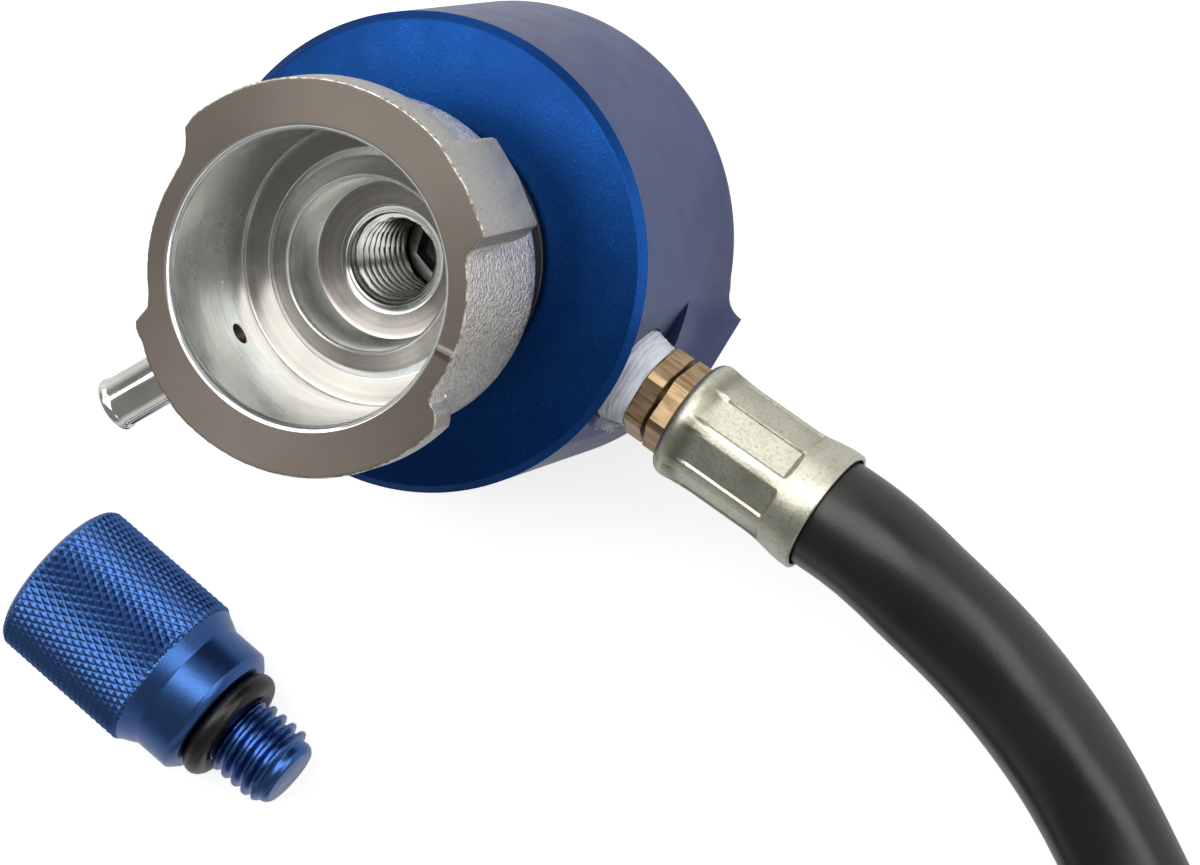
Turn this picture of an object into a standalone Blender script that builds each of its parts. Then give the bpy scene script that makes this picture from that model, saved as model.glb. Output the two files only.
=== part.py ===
"""Cap test head of a cooling system pressure tester, with its hose and its loose plug.

Metres, +Z up. The head stands on the rear face of its drum, with the filler neck up.
The origin is on the ground, in the middle of the head's and the plug's joint footprint.
"""
import math

import bmesh
import bpy
from mathutils import Vector

# Places on the ground
HEAD_X = 0.00524
HEAD_Y = 0.01988
PLUG_X = -0.04766
PLUG_Y = -0.02152
PLUG_HEADING = math.radians(-37.0)

# Clearances
GAP = 0.0003
OVERRUN = 0.003
MERGE = 0.000001

# Drum
DRUM_RADIUS = 0.02625
DRUM_HEIGHT = 0.02958
FRONT_CHAMFER = 0.00085
REAR_CHAMFER = 0.0003
CAVITY_RADIUS = 0.0216
CAVITY_DEPTH = 0.0140
PASSAGE_RADIUS = 0.0025

# Grip lugs on the drum's rear rim, one under the port and one opposite
LUG_REACH = 0.0278
LUG_ROOT = 0.0240
LUG_HALF_WIDTH = 0.0067
LUG_FILLET = 0.0030
LUG_HEIGHT = 0.0120
LUG_TOP_SHARE = 0.3

# Port and the flat that is milled round it
PORT_AZIMUTH = math.radians(-32.0)
PORT_HEIGHT = 0.0205
FLAT_DISTANCE = 0.0248
FLAT_SHOULDER_HEIGHT = 0.0136
FLAT_TOP_LIP = 0.0009
PORT_HOLE_DEPTH = 0.0083

# Bayonet ears and their screws
EAR_INNER_RADIUS = 0.0184
EAR_OUTER_RADIUS = 0.0250
EAR_HALF_ANGLE = math.radians(24.0)
EAR_THICKNESS = 0.0016
EAR_RECESS = 0.0003
EAR_SCREW_CIRCLE = 0.0232
EAR_SCREW_ANGLE = math.radians(15.0)
SCREW_SHANK_RADIUS = 0.0010
SCREW_HEAD_RADIUS = 0.0016
SCREW_HEAD_HEIGHT = 0.0006
SCREW_LENGTH = 0.0065

# Sprung seal carrier inside the rear cavity
CARRIER_RADIUS = 0.0209
CARRIER_THICKNESS = 0.0022
CARRIER_HEIGHT = 0.0068
RIM_SEAL_INNER_RADIUS = 0.0159
RIM_SEAL_OUTER_RADIUS = 0.0199
RIM_SEAL_THICKNESS = 0.0016
RIM_SEAL_PROUD = 0.0012
RIM_SEAL_ROUNDING = 0.0004
SPRING_RADIUS = 0.0120
SPRING_WIRE = 0.0009
SPRING_TURNS = 2.25
CARRIER_ORING_SECTION = 0.0010
BOLT_SHOULDER_RADIUS = 0.00455
BOLT_HEAD_RADIUS = 0.0080
BOLT_HEAD_THICKNESS = 0.0016
BOLT_THREAD_RADIUS = 0.0039
BOLT_THREAD_LENGTH = 0.0032
BOLT_BORE_RADIUS = 0.0022
BOLT_SOCKET = 0.0060
BOLT_SOCKET_DEPTH = 0.0025

# Filler neck: it stands on its gasket, and depths are below its face
NECK_GASKET_THICKNESS = 0.0007
NECK_GASKET_RADIUS = 0.0149
NECK_HEIGHT = 0.02886
NECK_FACE_HEIGHT = DRUM_HEIGHT + NECK_GASKET_THICKNESS + 2.0 * GAP + NECK_HEIGHT
NECK_BODY_RADIUS = 0.0180
NECK_BODY_SHARE = 0.6965
NECK_BODY_DEPTH = NECK_HEIGHT * NECK_BODY_SHARE
NECK_BODY_ROUNDING = 0.0012
NECK_WAIST_RADIUS = 0.0140
SPIGOT_RADIUS = 0.0080
SPIGOT_LENGTH = 0.0037
FLANGE_RADIUS = 0.02075
CAM_START_SHARE = 0.156
CAM_START_DEPTH = NECK_HEIGHT * CAM_START_SHARE
CAM_END_SHARE = 0.199
CAM_END_DEPTH = NECK_HEIGHT * CAM_END_SHARE
TAB_SHARE = 0.52
TAB_DEPTH = NECK_HEIGHT * TAB_SHARE
CAM_START_AZIMUTH = math.radians(137.0)
TAB_FIRST_AZIMUTH = math.radians(43.0)
TAB_BEND_AZIMUTH = math.radians(29.4)
TAB_LAST_AZIMUTH = math.radians(13.0)
NECK_BORE_RADIUS = 0.0160
NECK_BORE_SHARE = 0.6445
NECK_BORE_DEPTH = NECK_HEIGHT * NECK_BORE_SHARE
NECK_LIP = 0.0005
GROOVE_INNER_RADIUS = 0.01244
SEAT_FLANK_RADIUS = 0.01172
SEAT_RIM_RADIUS = 0.00955
SEAT_RIM_RISE = 0.0022
SEAT_RIM_DEPTH = NECK_BORE_DEPTH - SEAT_RIM_RISE
SEAT_RIM_HALF_WIDTH = 0.0003
PLUG_RECESS_RADIUS = 0.00885
PLUG_RECESS_DROP = 0.0046
PLUG_RECESS_DEPTH = NECK_BORE_DEPTH + PLUG_RECESS_DROP
PLUG_RECESS_FILLET = 0.0010
THREAD_MOUTH_RADIUS = 0.00581
THREAD_HOLE_RADIUS = 0.00491

# Overflow pipe
PIPE_AZIMUTH = math.radians(-150.7)
PIPE_SHARE = 0.45
PIPE_DEPTH = NECK_HEIGHT * PIPE_SHARE
PIPE_RADIUS = 0.0030
PIPE_BORE_RADIUS = 0.0015
PIPE_TIP_DISTANCE = 0.0330
PIPE_ROOT_DISTANCE = 0.0173
PIPE_ROUNDING = 0.0010
PIPE_VENT_RADIUS = 0.0012

# Hollow nipple screw under the neck's threaded hole
NIPPLE_PROUD = 0.00012
NIPPLE_TOP_HEIGHT = DRUM_HEIGHT + NIPPLE_PROUD
NIPPLE_LENGTH = 0.0063
NIPPLE_BORE_RADIUS = 0.0020
NIPPLE_SOCKET = 0.0048
NIPPLE_SOCKET_DEPTH = 0.0032

# Hose fitting: distances are from the drum's axis, along the port's axis
HEX_ACROSS_FLATS = 0.0100
HEX_MISMATCH = math.radians(10.0)
ADAPTOR_FRONT_DISTANCE = 0.0173
ADAPTOR_THREAD_RADIUS = 0.0046
ADAPTOR_BORE_RADIUS = 0.0020
ADAPTOR_HEX_DISTANCE = 0.0280
ADAPTOR_HEX_LENGTH = 0.0022
TAPE_RADIUS = 0.0053
TAPE_FRONT_DISTANCE = 0.0182
STEM_HEX_DISTANCE = 0.0306
STEM_HEX_LENGTH = 0.0024
STEM_SPIGOT_RADIUS = 0.00295
STEM_SPIGOT_DISTANCE = 0.0243
STEM_BORE_RADIUS = 0.0013
STEM_NECK_RADIUS = 0.0036
STEM_BARB_RADIUS = 0.0032
STEM_BARB_DROP = 0.0003
STEM_BARBS = 3
SWIVEL_ORING_DISTANCE = 0.0256
SWIVEL_ORING_RADIUS = 0.0026
SWIVEL_ORING_SECTION = 0.0008
SWIVEL_RING_DISTANCE = 0.0288
SWIVEL_RING_WIDTH = 0.0006
SWIVEL_RING_INNER_RADIUS = 0.00255
SWIVEL_RING_OUTER_RADIUS = 0.00365

# Crimped ferrule and the hose end inside it
FERRULE_FRONT_DISTANCE = 0.0333
FERRULE_BULGE_DISTANCE = 0.0344
FERRULE_MOUTH_DISTANCE = 0.0521
STEM_TAIL_SHORTFALL = 0.0016
STEM_TAIL_DISTANCE = FERRULE_MOUTH_DISTANCE - STEM_TAIL_SHORTFALL
FERRULE_FRONT_RADIUS = 0.0056
FERRULE_BULGE_RADIUS = 0.0070
FERRULE_CRIMP_RADIUS = 0.0067
FERRULE_FLARE_RADIUS = 0.0073
FERRULE_WALL = 0.0006
PANEL_START_DISTANCE = 0.0368
FERRULE_FLARE_LENGTH = 0.0045
PANEL_END_DISTANCE = FERRULE_MOUTH_DISTANCE - FERRULE_FLARE_LENGTH
PANEL_RECESS = 0.00035
PANEL_EDGE = 0.0002
PANELS = 8
PANEL_RIB_SHARE = 1.0 / 3.0
PANEL_TURN = math.radians(32.0)
HOSE_RADIUS = 0.0065
CRIMPED_HOSE_RADIUS = 0.0055

# Hose route: points chosen by hand, from the drum's axis and the ground
HOSE_ROUTE = (
    (0.0536, -0.0350, 0.0195),
    (0.0602, -0.0423, 0.0162),
    (0.0650, -0.0496, 0.0122),
    (0.0690, -0.0571, 0.0087),
    (0.0732, -0.0656, 0.0070),
    (0.0806, -0.0802, 0.0067),
    (0.0910, -0.1004, 0.0067),
)
HOSE_STRAIGHT = 0.004
HOSE_STEP = 0.026
COIL_X = 0.0266
COIL_Y = -0.1587
COIL_RADIUS = 0.0840
COIL_PITCH = 0.0137
COIL_START_AZIMUTH = math.radians(27.0)
COIL_TURNS = 0.9
COIL_HEIGHT = 0.0067
TAIL_RADIUS = 0.0530
TAIL_ANGLE = math.radians(160.0)
TAIL_RISE_ANGLE = math.radians(60.0)
FAR_END_HEIGHT = 0.0076

# Connector on the hose's far end: distances run as on the near fitting
FAR_STEM_HEX = 0.0120
FAR_STEM_HEX_DISTANCE = 0.0280
FAR_STEM_THREAD_DISTANCE = 0.0215
FAR_STEM_THREAD_RADIUS = 0.0040
CONNECTOR_HEX = 0.0130
CONNECTOR_HEX_LENGTH = 0.0070
CONNECTOR_BORE_RADIUS = 0.0043
CONNECTOR_NECK_RADIUS = 0.0046
CONNECTOR_NECK_LENGTH = 0.0050
CONNECTOR_COLLAR_RADIUS = 0.0058
CONNECTOR_COLLAR_LENGTH = 0.0040
CONNECTOR_NOSE_RADIUS = 0.0037
CONNECTOR_NOSE_LENGTH = 0.0055
CONNECTOR_TIP_ROUNDING = 0.0010
CONNECTOR_TIP_BORE_RADIUS = 0.0018

# Knurled plug: lengths along its own axis, from its knurled end
KNURL_RADIUS = 0.0100
KNURL_LENGTH = 0.0176
KNURL_ROUNDING = 0.0012
PLUG_CONE_LENGTH = 0.0018
COLLAR_RADIUS = 0.0084
COLLAR_LENGTH = 0.0051
COLLAR_CHAMFER = 0.0010
PLUG_NECK_RADIUS = 0.0044
PLUG_ORING_RADIUS = 0.0059
PLUG_ORING_SECTION = 0.0023
PLUG_THREAD_RADIUS = 0.00492
PLUG_THREAD_ROOT_RADIUS = 0.0042
PLUG_THREAD_PITCH = 0.0015
PLUG_THREADS = 5
PLUG_ROOT_END_SHARE = 0.1
PLUG_CREST_START_SHARE = 0.5
PLUG_CREST_END_SHARE = 0.65
PLUG_TIP_CHAMFER = 0.0005

# Fineness of the round shapes
LARGE_SEGMENTS = 48
MEDIUM_SEGMENTS = 30
SMALL_SEGMENTS = 24
ROUNDING_STEPS = 2
COIL_POINTS = 24
SPRING_POINTS = 16

# Finishes: colour, metallic, roughness
BLUE_ANODISED = ((0.02, 0.13, 0.42), 0.8, 0.35)
BARE_ALUMINIUM = ((0.46, 0.43, 0.40), 0.9, 0.35)
CHROME = ((0.78, 0.78, 0.80), 1.0, 0.12)
BRASS = ((0.70, 0.52, 0.24), 1.0, 0.30)
ZINC = ((0.62, 0.62, 0.50), 1.0, 0.28)
STEEL = ((0.55, 0.55, 0.56), 1.0, 0.30)
WHITE_TAPE = ((0.85, 0.85, 0.83), 0.0, 0.60)
BLACK_RUBBER = ((0.02, 0.02, 0.02), 0.0, 0.50)


def clear_scene():
    """Remove whatever the scene holds."""
    for item in list(bpy.data.objects):
        bpy.data.objects.remove(item, do_unlink=True)


def surface(name, finish):
    """A material of one colour for the node of this name."""
    colour, metallic, roughness = finish
    made = bpy.data.materials.new(name)
    made.use_nodes = True
    shader = made.node_tree.nodes["Principled BSDF"]
    shader.inputs["Base Color"].default_value = (*colour, 1.0)
    shader.inputs["Metallic"].default_value = metallic
    shader.inputs["Roughness"].default_value = roughness
    made.diffuse_color = (*colour, 1.0)
    return made


def place(name, data, parent, location=(0.0, 0.0, 0.0), turn=0.0):
    """An object that holds this data, under its parent."""
    item = bpy.data.objects.new(name, data)
    bpy.context.scene.collection.objects.link(item)
    item.parent = parent
    item.location = location
    item.rotation_euler = (0.0, 0.0, turn)
    return item


def node(name, data, finish, parent, location=(0.0, 0.0, 0.0), turn=0.0):
    """One piece of the object, smooth where it is round, with its own material."""
    item = place(name, data, parent, location, turn)
    data.materials.clear()
    data.materials.append(surface(name, finish))
    return item


def cut(target, cutter, operation="DIFFERENCE"):
    """Take a hidden shape from a node, or add it."""
    cutter.hide_render = True
    cutter.display_type = "WIRE"
    step = target.modifiers.new(cutter.name, "BOOLEAN")
    step.operation = operation
    step.solver = "EXACT"
    step.object = cutter


def skin(name, rows, wrap=True):
    """A closed mesh over rows of points. Each row is a loop, and points that meet become one."""
    shape = bmesh.new()
    found = {}

    def corner(point):
        key = tuple(round(part / MERGE) for part in point)
        if key not in found:
            found[key] = shape.verts.new(point)
        return found[key]

    following = rows[1:] + rows[:1] if wrap else rows[1:]
    for row, beyond in zip(rows, following):
        for here in range(len(row)):
            there = (here + 1) % len(row)
            around = (row[here], row[there], beyond[there], beyond[here])
            corners = list(dict.fromkeys(corner(point) for point in around))
            if len(corners) > 2:
                shape.faces.new(corners)
    if not wrap:
        for row in (rows[0], rows[-1]):
            shape.faces.new(list(dict.fromkeys(corner(point) for point in row)))
    bmesh.ops.recalc_face_normals(shape, faces=shape.faces)
    mesh = bpy.data.meshes.new(name)
    shape.to_mesh(mesh)
    shape.free()
    mesh.shade_smooth()
    mesh.set_sharp_from_angle(angle=math.radians(30.0))
    return mesh


def hexagon(across_flats, turn=0.0):
    """Radius of a hexagon at an angle. A corner lies at the turn."""
    def radius(angle):
        within = (angle - turn) % math.radians(60.0) - math.radians(30.0)
        return across_flats / 2.0 / math.cos(within)
    return radius


def revolve(name, profile, segments, along="Z", angles=None):
    """A mesh turned from a closed outline of (radius, place). A radius may depend on the angle."""
    if angles is None:
        angles = [math.tau * step / segments for step in range(segments)]
    rows = []
    for radius, where in profile:
        reach = radius if callable(radius) else lambda angle, fixed=radius: fixed
        flat = [(reach(angle) * math.cos(angle), reach(angle) * math.sin(angle)) for angle in angles]
        if along == "Z":
            rows.append([(first, second, where) for first, second in flat])
        else:
            rows.append([(where, first, second) for first, second in flat])
    return skin(name, rows)


def ring_outline(radius, section, where, steps=8):
    """Outline of a round-section ring, for revolve."""
    half = section / 2.0
    turns = [math.tau * step / steps for step in range(steps)]
    return [(radius + half * math.cos(turn), where + half * math.sin(turn)) for turn in turns]


def rounding(centre_radius, centre_place, size, start, end):
    """Points of a rounded edge in an outline, from one angle to another, in degrees."""
    points = []
    for step in range(ROUNDING_STEPS + 1):
        angle = math.radians(start + (end - start) * step / ROUNDING_STEPS)
        points.append((centre_radius + size * math.cos(angle), centre_place + size * math.sin(angle)))
    return points


def sector(name, inner, outer, low, high, middle, half_angle, steps=8):
    """A curved block between two radii and two heights."""
    rows = []
    for step in range(steps + 1):
        azimuth = middle + half_angle * (2.0 * step / steps - 1.0)
        toward = (math.cos(azimuth), math.sin(azimuth))
        outline = ((inner, low), (outer, low), (outer, high), (inner, high))
        rows.append([(reach * toward[0], reach * toward[1], height) for reach, height in outline])
    return skin(name, rows, wrap=False)


def around(radius, azimuth, height=0.0):
    """A place on a circle about the axis."""
    return (radius * math.cos(azimuth), radius * math.sin(azimuth), height)


def lug_mesh(name):
    """A grip lug on the +X side: wide and square at the rear rim, sinking into the drum above."""
    side = []
    for step in range(ROUNDING_STEPS + 1):
        angle = math.radians(90.0 * step / ROUNDING_STEPS)
        across = LUG_HALF_WIDTH + LUG_FILLET * (1.0 - math.cos(angle))
        side.append((LUG_REACH - LUG_FILLET * math.sin(angle), across))
    side.append((LUG_ROOT, LUG_HALF_WIDTH + LUG_FILLET))
    outline = side + [(reach, -across) for reach, across in reversed(side)]
    rows = []
    for height, share in ((0.0, 1.0), (LUG_HEIGHT, LUG_TOP_SHARE)):
        rows.append([(LUG_ROOT + (reach - LUG_ROOT) * share, across, height) for reach, across in outline])
    return skin(name, rows, wrap=False)


def box_mesh(name, low, high):
    """A block between two opposite corners."""
    rows = []
    for height in (low[2], high[2]):
        rows.append([(low[0], low[1], height), (high[0], low[1], height),
                     (high[0], high[1], height), (low[0], high[1], height)])
    return skin(name, rows, wrap=False)


def ear_screw_places():
    """Azimuths of the four ear screws."""
    places = []
    for ear in (PORT_AZIMUTH, PORT_AZIMUTH + math.pi):
        places += [ear - EAR_SCREW_ANGLE, ear + EAR_SCREW_ANGLE]
    return places


def make_drum(head, port):
    """The drum: a thick cup, open at the rear, with the port's flat and hole in its side."""
    nipple_bottom = NIPPLE_TOP_HEIGHT - NIPPLE_LENGTH
    bolt_hole = BOLT_THREAD_RADIUS + GAP
    bolt_hole_top = CAVITY_DEPTH + BOLT_THREAD_LENGTH + GAP
    spigot_floor = DRUM_HEIGHT + NECK_GASKET_THICKNESS + GAP - SPIGOT_LENGTH
    spigot_hole = SPIGOT_RADIUS + GAP
    profile = [
        (CAVITY_RADIUS, 0.0),
        (DRUM_RADIUS - REAR_CHAMFER, 0.0),
        (DRUM_RADIUS, REAR_CHAMFER),
        (DRUM_RADIUS, DRUM_HEIGHT - FRONT_CHAMFER),
        (DRUM_RADIUS - FRONT_CHAMFER, DRUM_HEIGHT),
        (spigot_hole, DRUM_HEIGHT),
        (spigot_hole, spigot_floor),
        (THREAD_HOLE_RADIUS, spigot_floor),
        (THREAD_HOLE_RADIUS, nipple_bottom - GAP),
        (PASSAGE_RADIUS, nipple_bottom - GAP),
        (PASSAGE_RADIUS, bolt_hole_top),
        (bolt_hole, bolt_hole_top),
        (bolt_hole, CAVITY_DEPTH),
        (CAVITY_RADIUS, CAVITY_DEPTH),
    ]
    drum = node("drum_body", revolve("drum_body", profile, LARGE_SEGMENTS), BLUE_ANODISED, head)
    for number, azimuth in enumerate((PORT_AZIMUTH, PORT_AZIMUTH + math.pi), 1):
        cut(drum, place(f"lug_{number}", lug_mesh("lug"), head, turn=azimuth), "UNION")
        recess = sector("ear_recess", EAR_INNER_RADIUS, EAR_OUTER_RADIUS + GAP, -OVERRUN,
                        EAR_RECESS + EAR_THICKNESS + GAP, azimuth, EAR_HALF_ANGLE + GAP / EAR_OUTER_RADIUS)
        cut(drum, place(f"ear_recess_{number}", recess, head))
    flat_top = DRUM_HEIGHT - FLAT_TOP_LIP - PORT_HEIGHT
    flat_low = FLAT_SHOULDER_HEIGHT - PORT_HEIGHT
    flat = box_mesh("port_flat", (FLAT_DISTANCE, -DRUM_RADIUS, flat_low),
                    (DRUM_RADIUS + OVERRUN, DRUM_RADIUS, flat_top))
    cut(drum, place("port_flat", flat, port))
    hole_floor = FLAT_DISTANCE - PORT_HOLE_DEPTH
    hole = [
        (0.0, 0.0),
        (PASSAGE_RADIUS, 0.0),
        (PASSAGE_RADIUS, hole_floor),
        (TAPE_RADIUS + GAP, hole_floor),
        (TAPE_RADIUS + GAP, FLAT_DISTANCE + OVERRUN),
        (0.0, FLAT_DISTANCE + OVERRUN),
    ]
    cut(drum, place("port_hole", revolve("port_hole", hole, SMALL_SEGMENTS, "X"), port))
    hole_radius = SCREW_SHANK_RADIUS + GAP
    hole_depth = SCREW_LENGTH + GAP
    screw_hole = [(0.0, 0.0), (hole_radius, 0.0), (hole_radius, hole_depth), (0.0, hole_depth)]
    for number, azimuth in enumerate(ear_screw_places(), 1):
        drill = revolve("screw_hole", screw_hole, SMALL_SEGMENTS // 2)
        cut(drum, place(f"screw_hole_{number}", drill, head, around(EAR_SCREW_CIRCLE, azimuth, EAR_RECESS)))


def make_ears(head):
    """Two hardened bayonet ears under the rear rim, each held by two screws."""
    low = EAR_RECESS
    high = EAR_RECESS + EAR_THICKNESS
    head_top = low + SCREW_HEAD_HEIGHT
    shank_hole = [
        (0.0, low - OVERRUN),
        (SCREW_HEAD_RADIUS + GAP, low - OVERRUN),
        (SCREW_HEAD_RADIUS + GAP, head_top + GAP),
        (SCREW_SHANK_RADIUS + GAP, head_top + GAP),
        (SCREW_SHANK_RADIUS + GAP, high + OVERRUN),
        (0.0, high + OVERRUN),
    ]
    screw = [
        (0.0, low),
        (SCREW_HEAD_RADIUS, low),
        (SCREW_HEAD_RADIUS, head_top),
        (SCREW_SHANK_RADIUS, head_top),
        (SCREW_SHANK_RADIUS, low + SCREW_LENGTH),
        (0.0, low + SCREW_LENGTH),
    ]
    screw_places = ear_screw_places()
    for number, azimuth in enumerate((PORT_AZIMUTH, PORT_AZIMUTH + math.pi), 1):
        mesh = sector("ear", EAR_INNER_RADIUS, EAR_OUTER_RADIUS, low, high, azimuth, EAR_HALF_ANGLE)
        ear = node(f"bayonet_ear_{number}", mesh, STEEL, head)
        for side in (0, 1):
            index = 2 * (number - 1) + side
            spot = around(EAR_SCREW_CIRCLE, screw_places[index])
            drill = revolve("ear_hole", shank_hole, SMALL_SEGMENTS // 2)
            cut(ear, place(f"ear_hole_{index + 1}", drill, head, spot))
            mesh = revolve("screw", screw, SMALL_SEGMENTS // 2)
            node(f"bayonet_screw_{index + 1}", mesh, STEEL, head, spot)


def make_carrier(head):
    """The sprung plate that holds the rim seal, on its hollow shoulder bolt."""
    low = CARRIER_HEIGHT
    high = CARRIER_HEIGHT + CARRIER_THICKNESS
    seal_low = low - RIM_SEAL_PROUD
    seal_high = seal_low + RIM_SEAL_THICKNESS
    bore = BOLT_SHOULDER_RADIUS + GAP
    oring_centre = BOLT_SHOULDER_RADIUS + GAP + CARRIER_ORING_SECTION / 2.0
    groove_radius = oring_centre + CARRIER_ORING_SECTION / 2.0 + GAP
    middle = (low + high) / 2.0
    groove_half = CARRIER_ORING_SECTION / 2.0 + GAP / 2.0
    plate = [
        (bore, low),
        (RIM_SEAL_INNER_RADIUS - GAP, low),
        (RIM_SEAL_INNER_RADIUS - GAP, seal_high + GAP),
        (RIM_SEAL_OUTER_RADIUS + GAP, seal_high + GAP),
        (RIM_SEAL_OUTER_RADIUS + GAP, low),
        (CARRIER_RADIUS, low),
        (CARRIER_RADIUS, high),
        (bore, high),
        (bore, middle + groove_half),
        (groove_radius, middle + groove_half),
        (groove_radius, middle - groove_half),
        (bore, middle - groove_half),
    ]
    node("seal_carrier", revolve("seal_carrier", plate, LARGE_SEGMENTS), BARE_ALUMINIUM, head)
    edge = RIM_SEAL_ROUNDING
    seal = rounding(RIM_SEAL_INNER_RADIUS + edge, seal_low + edge, edge, 180.0, 270.0)
    seal += rounding(RIM_SEAL_OUTER_RADIUS - edge, seal_low + edge, edge, 270.0, 360.0)
    seal += [(RIM_SEAL_OUTER_RADIUS, seal_high), (RIM_SEAL_INNER_RADIUS, seal_high)]
    node("rim_seal", revolve("rim_seal", seal, LARGE_SEGMENTS), BLACK_RUBBER, head)
    oring = ring_outline(oring_centre, CARRIER_ORING_SECTION - GAP, middle)
    node("carrier_oring", revolve("carrier_oring", oring, SMALL_SEGMENTS), BLACK_RUBBER, head)
    bolt_head_top = low - GAP
    bolt_bottom = bolt_head_top - BOLT_HEAD_THICKNESS
    shoulder_top = CAVITY_DEPTH - GAP
    socket_top = bolt_bottom + BOLT_SOCKET_DEPTH
    socket = hexagon(BOLT_SOCKET)
    bolt = [
        (socket, bolt_bottom),
        (BOLT_HEAD_RADIUS, bolt_bottom),
        (BOLT_HEAD_RADIUS, bolt_head_top),
        (BOLT_SHOULDER_RADIUS, bolt_head_top),
        (BOLT_SHOULDER_RADIUS, shoulder_top),
        (BOLT_THREAD_RADIUS, shoulder_top),
        (BOLT_THREAD_RADIUS, CAVITY_DEPTH + BOLT_THREAD_LENGTH),
        (BOLT_BORE_RADIUS, CAVITY_DEPTH + BOLT_THREAD_LENGTH),
        (BOLT_BORE_RADIUS, socket_top),
        (socket, socket_top),
    ]
    node("carrier_bolt", revolve("carrier_bolt", bolt, MEDIUM_SEGMENTS), STEEL, head)
    make_spring(head, high)


def make_spring(head, carrier_top):
    """The coil spring between the carrier and the drum's web."""
    half = SPRING_WIRE / 2.0
    low = carrier_top + GAP + half
    high = CAVITY_DEPTH - GAP - half
    steps = round(SPRING_TURNS * SPRING_POINTS)
    points = []
    for step in range(steps + 1):
        share = step / steps
        height = low + (high - low) * share
        points.append(Vector(around(SPRING_RADIUS, math.tau * SPRING_TURNS * share, height)))
    tube("carrier_spring", points, half, 1, STEEL, head)
    print("least gap in the spring, mm:", least_gap(points, SPRING_WIRE))


def flange_stations():
    """Azimuth, outer radius, cam depth and full depth round half of the neck's flange."""
    ear_notch_end = CAM_START_AZIMUTH - math.pi
    stations = []
    cam_steps = 9
    for step in range(cam_steps + 1):
        share = step / cam_steps
        azimuth = CAM_START_AZIMUTH + (TAB_FIRST_AZIMUTH - CAM_START_AZIMUTH) * share
        depth = CAM_START_DEPTH + (CAM_END_DEPTH - CAM_START_DEPTH) * share
        stations.append((azimuth, FLANGE_RADIUS, depth, depth))
    for azimuth in (TAB_FIRST_AZIMUTH, TAB_BEND_AZIMUTH, TAB_LAST_AZIMUTH):
        stations.append((azimuth, FLANGE_RADIUS, CAM_END_DEPTH, TAB_DEPTH))
    notch_steps = 4
    for step in range(notch_steps):
        azimuth = TAB_LAST_AZIMUTH + (ear_notch_end - TAB_LAST_AZIMUTH) * step / notch_steps
        stations.append((azimuth, NECK_BODY_RADIUS, CAM_END_DEPTH, TAB_DEPTH))
    stations.append((ear_notch_end, NECK_BODY_RADIUS, CAM_START_DEPTH, CAM_START_DEPTH))
    return stations


def neck_row(azimuth, reach, cam_depth, full_depth):
    """The neck's outline at one azimuth: over the flange, down the outside, up the inside."""
    body_low = NECK_FACE_HEIGHT - NECK_BODY_DEPTH
    waist_low = DRUM_HEIGHT + NECK_GASKET_THICKNESS + 2.0 * GAP
    spigot_low = waist_low - SPIGOT_LENGTH
    edge = NECK_BODY_ROUNDING
    bore_floor = NECK_BORE_DEPTH
    outline = [
        (NECK_BORE_RADIUS + NECK_LIP, 0.0),
        (NECK_BODY_RADIUS, 0.0),
        (reach, 0.0),
        (reach, cam_depth),
        (reach, full_depth),
        (NECK_BODY_RADIUS, full_depth),
        (NECK_BODY_RADIUS, TAB_DEPTH),
    ]
    low_edge = rounding(NECK_BODY_RADIUS - edge, body_low + edge, edge, 0.0, -90.0)
    outline += [(radius, NECK_FACE_HEIGHT - height) for radius, height in low_edge]
    outline += [
        (NECK_WAIST_RADIUS, NECK_BODY_DEPTH),
        (NECK_WAIST_RADIUS, NECK_FACE_HEIGHT - waist_low),
        (SPIGOT_RADIUS, NECK_FACE_HEIGHT - waist_low),
        (SPIGOT_RADIUS, NECK_FACE_HEIGHT - spigot_low),
        (THREAD_HOLE_RADIUS, NECK_FACE_HEIGHT - spigot_low),
        (THREAD_HOLE_RADIUS, PLUG_RECESS_DEPTH + THREAD_MOUTH_RADIUS - THREAD_HOLE_RADIUS),
        (THREAD_MOUTH_RADIUS, PLUG_RECESS_DEPTH),
        (PLUG_RECESS_RADIUS - PLUG_RECESS_FILLET, PLUG_RECESS_DEPTH),
        (PLUG_RECESS_RADIUS, PLUG_RECESS_DEPTH - PLUG_RECESS_FILLET),
        (SEAT_RIM_RADIUS - SEAT_RIM_HALF_WIDTH, SEAT_RIM_DEPTH + SEAT_RIM_HALF_WIDTH),
        (SEAT_RIM_RADIUS, SEAT_RIM_DEPTH),
        (SEAT_RIM_RADIUS + SEAT_RIM_HALF_WIDTH, SEAT_RIM_DEPTH + SEAT_RIM_HALF_WIDTH),
        (SEAT_FLANK_RADIUS, bore_floor - SEAT_RIM_HALF_WIDTH),
        (GROOVE_INNER_RADIUS, bore_floor),
        (NECK_BORE_RADIUS - NECK_LIP, bore_floor),
        (NECK_BORE_RADIUS, bore_floor - NECK_LIP),
        (NECK_BORE_RADIUS, NECK_LIP),
    ]
    return [around(radius, azimuth, NECK_FACE_HEIGHT - depth) for radius, depth in outline]


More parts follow.
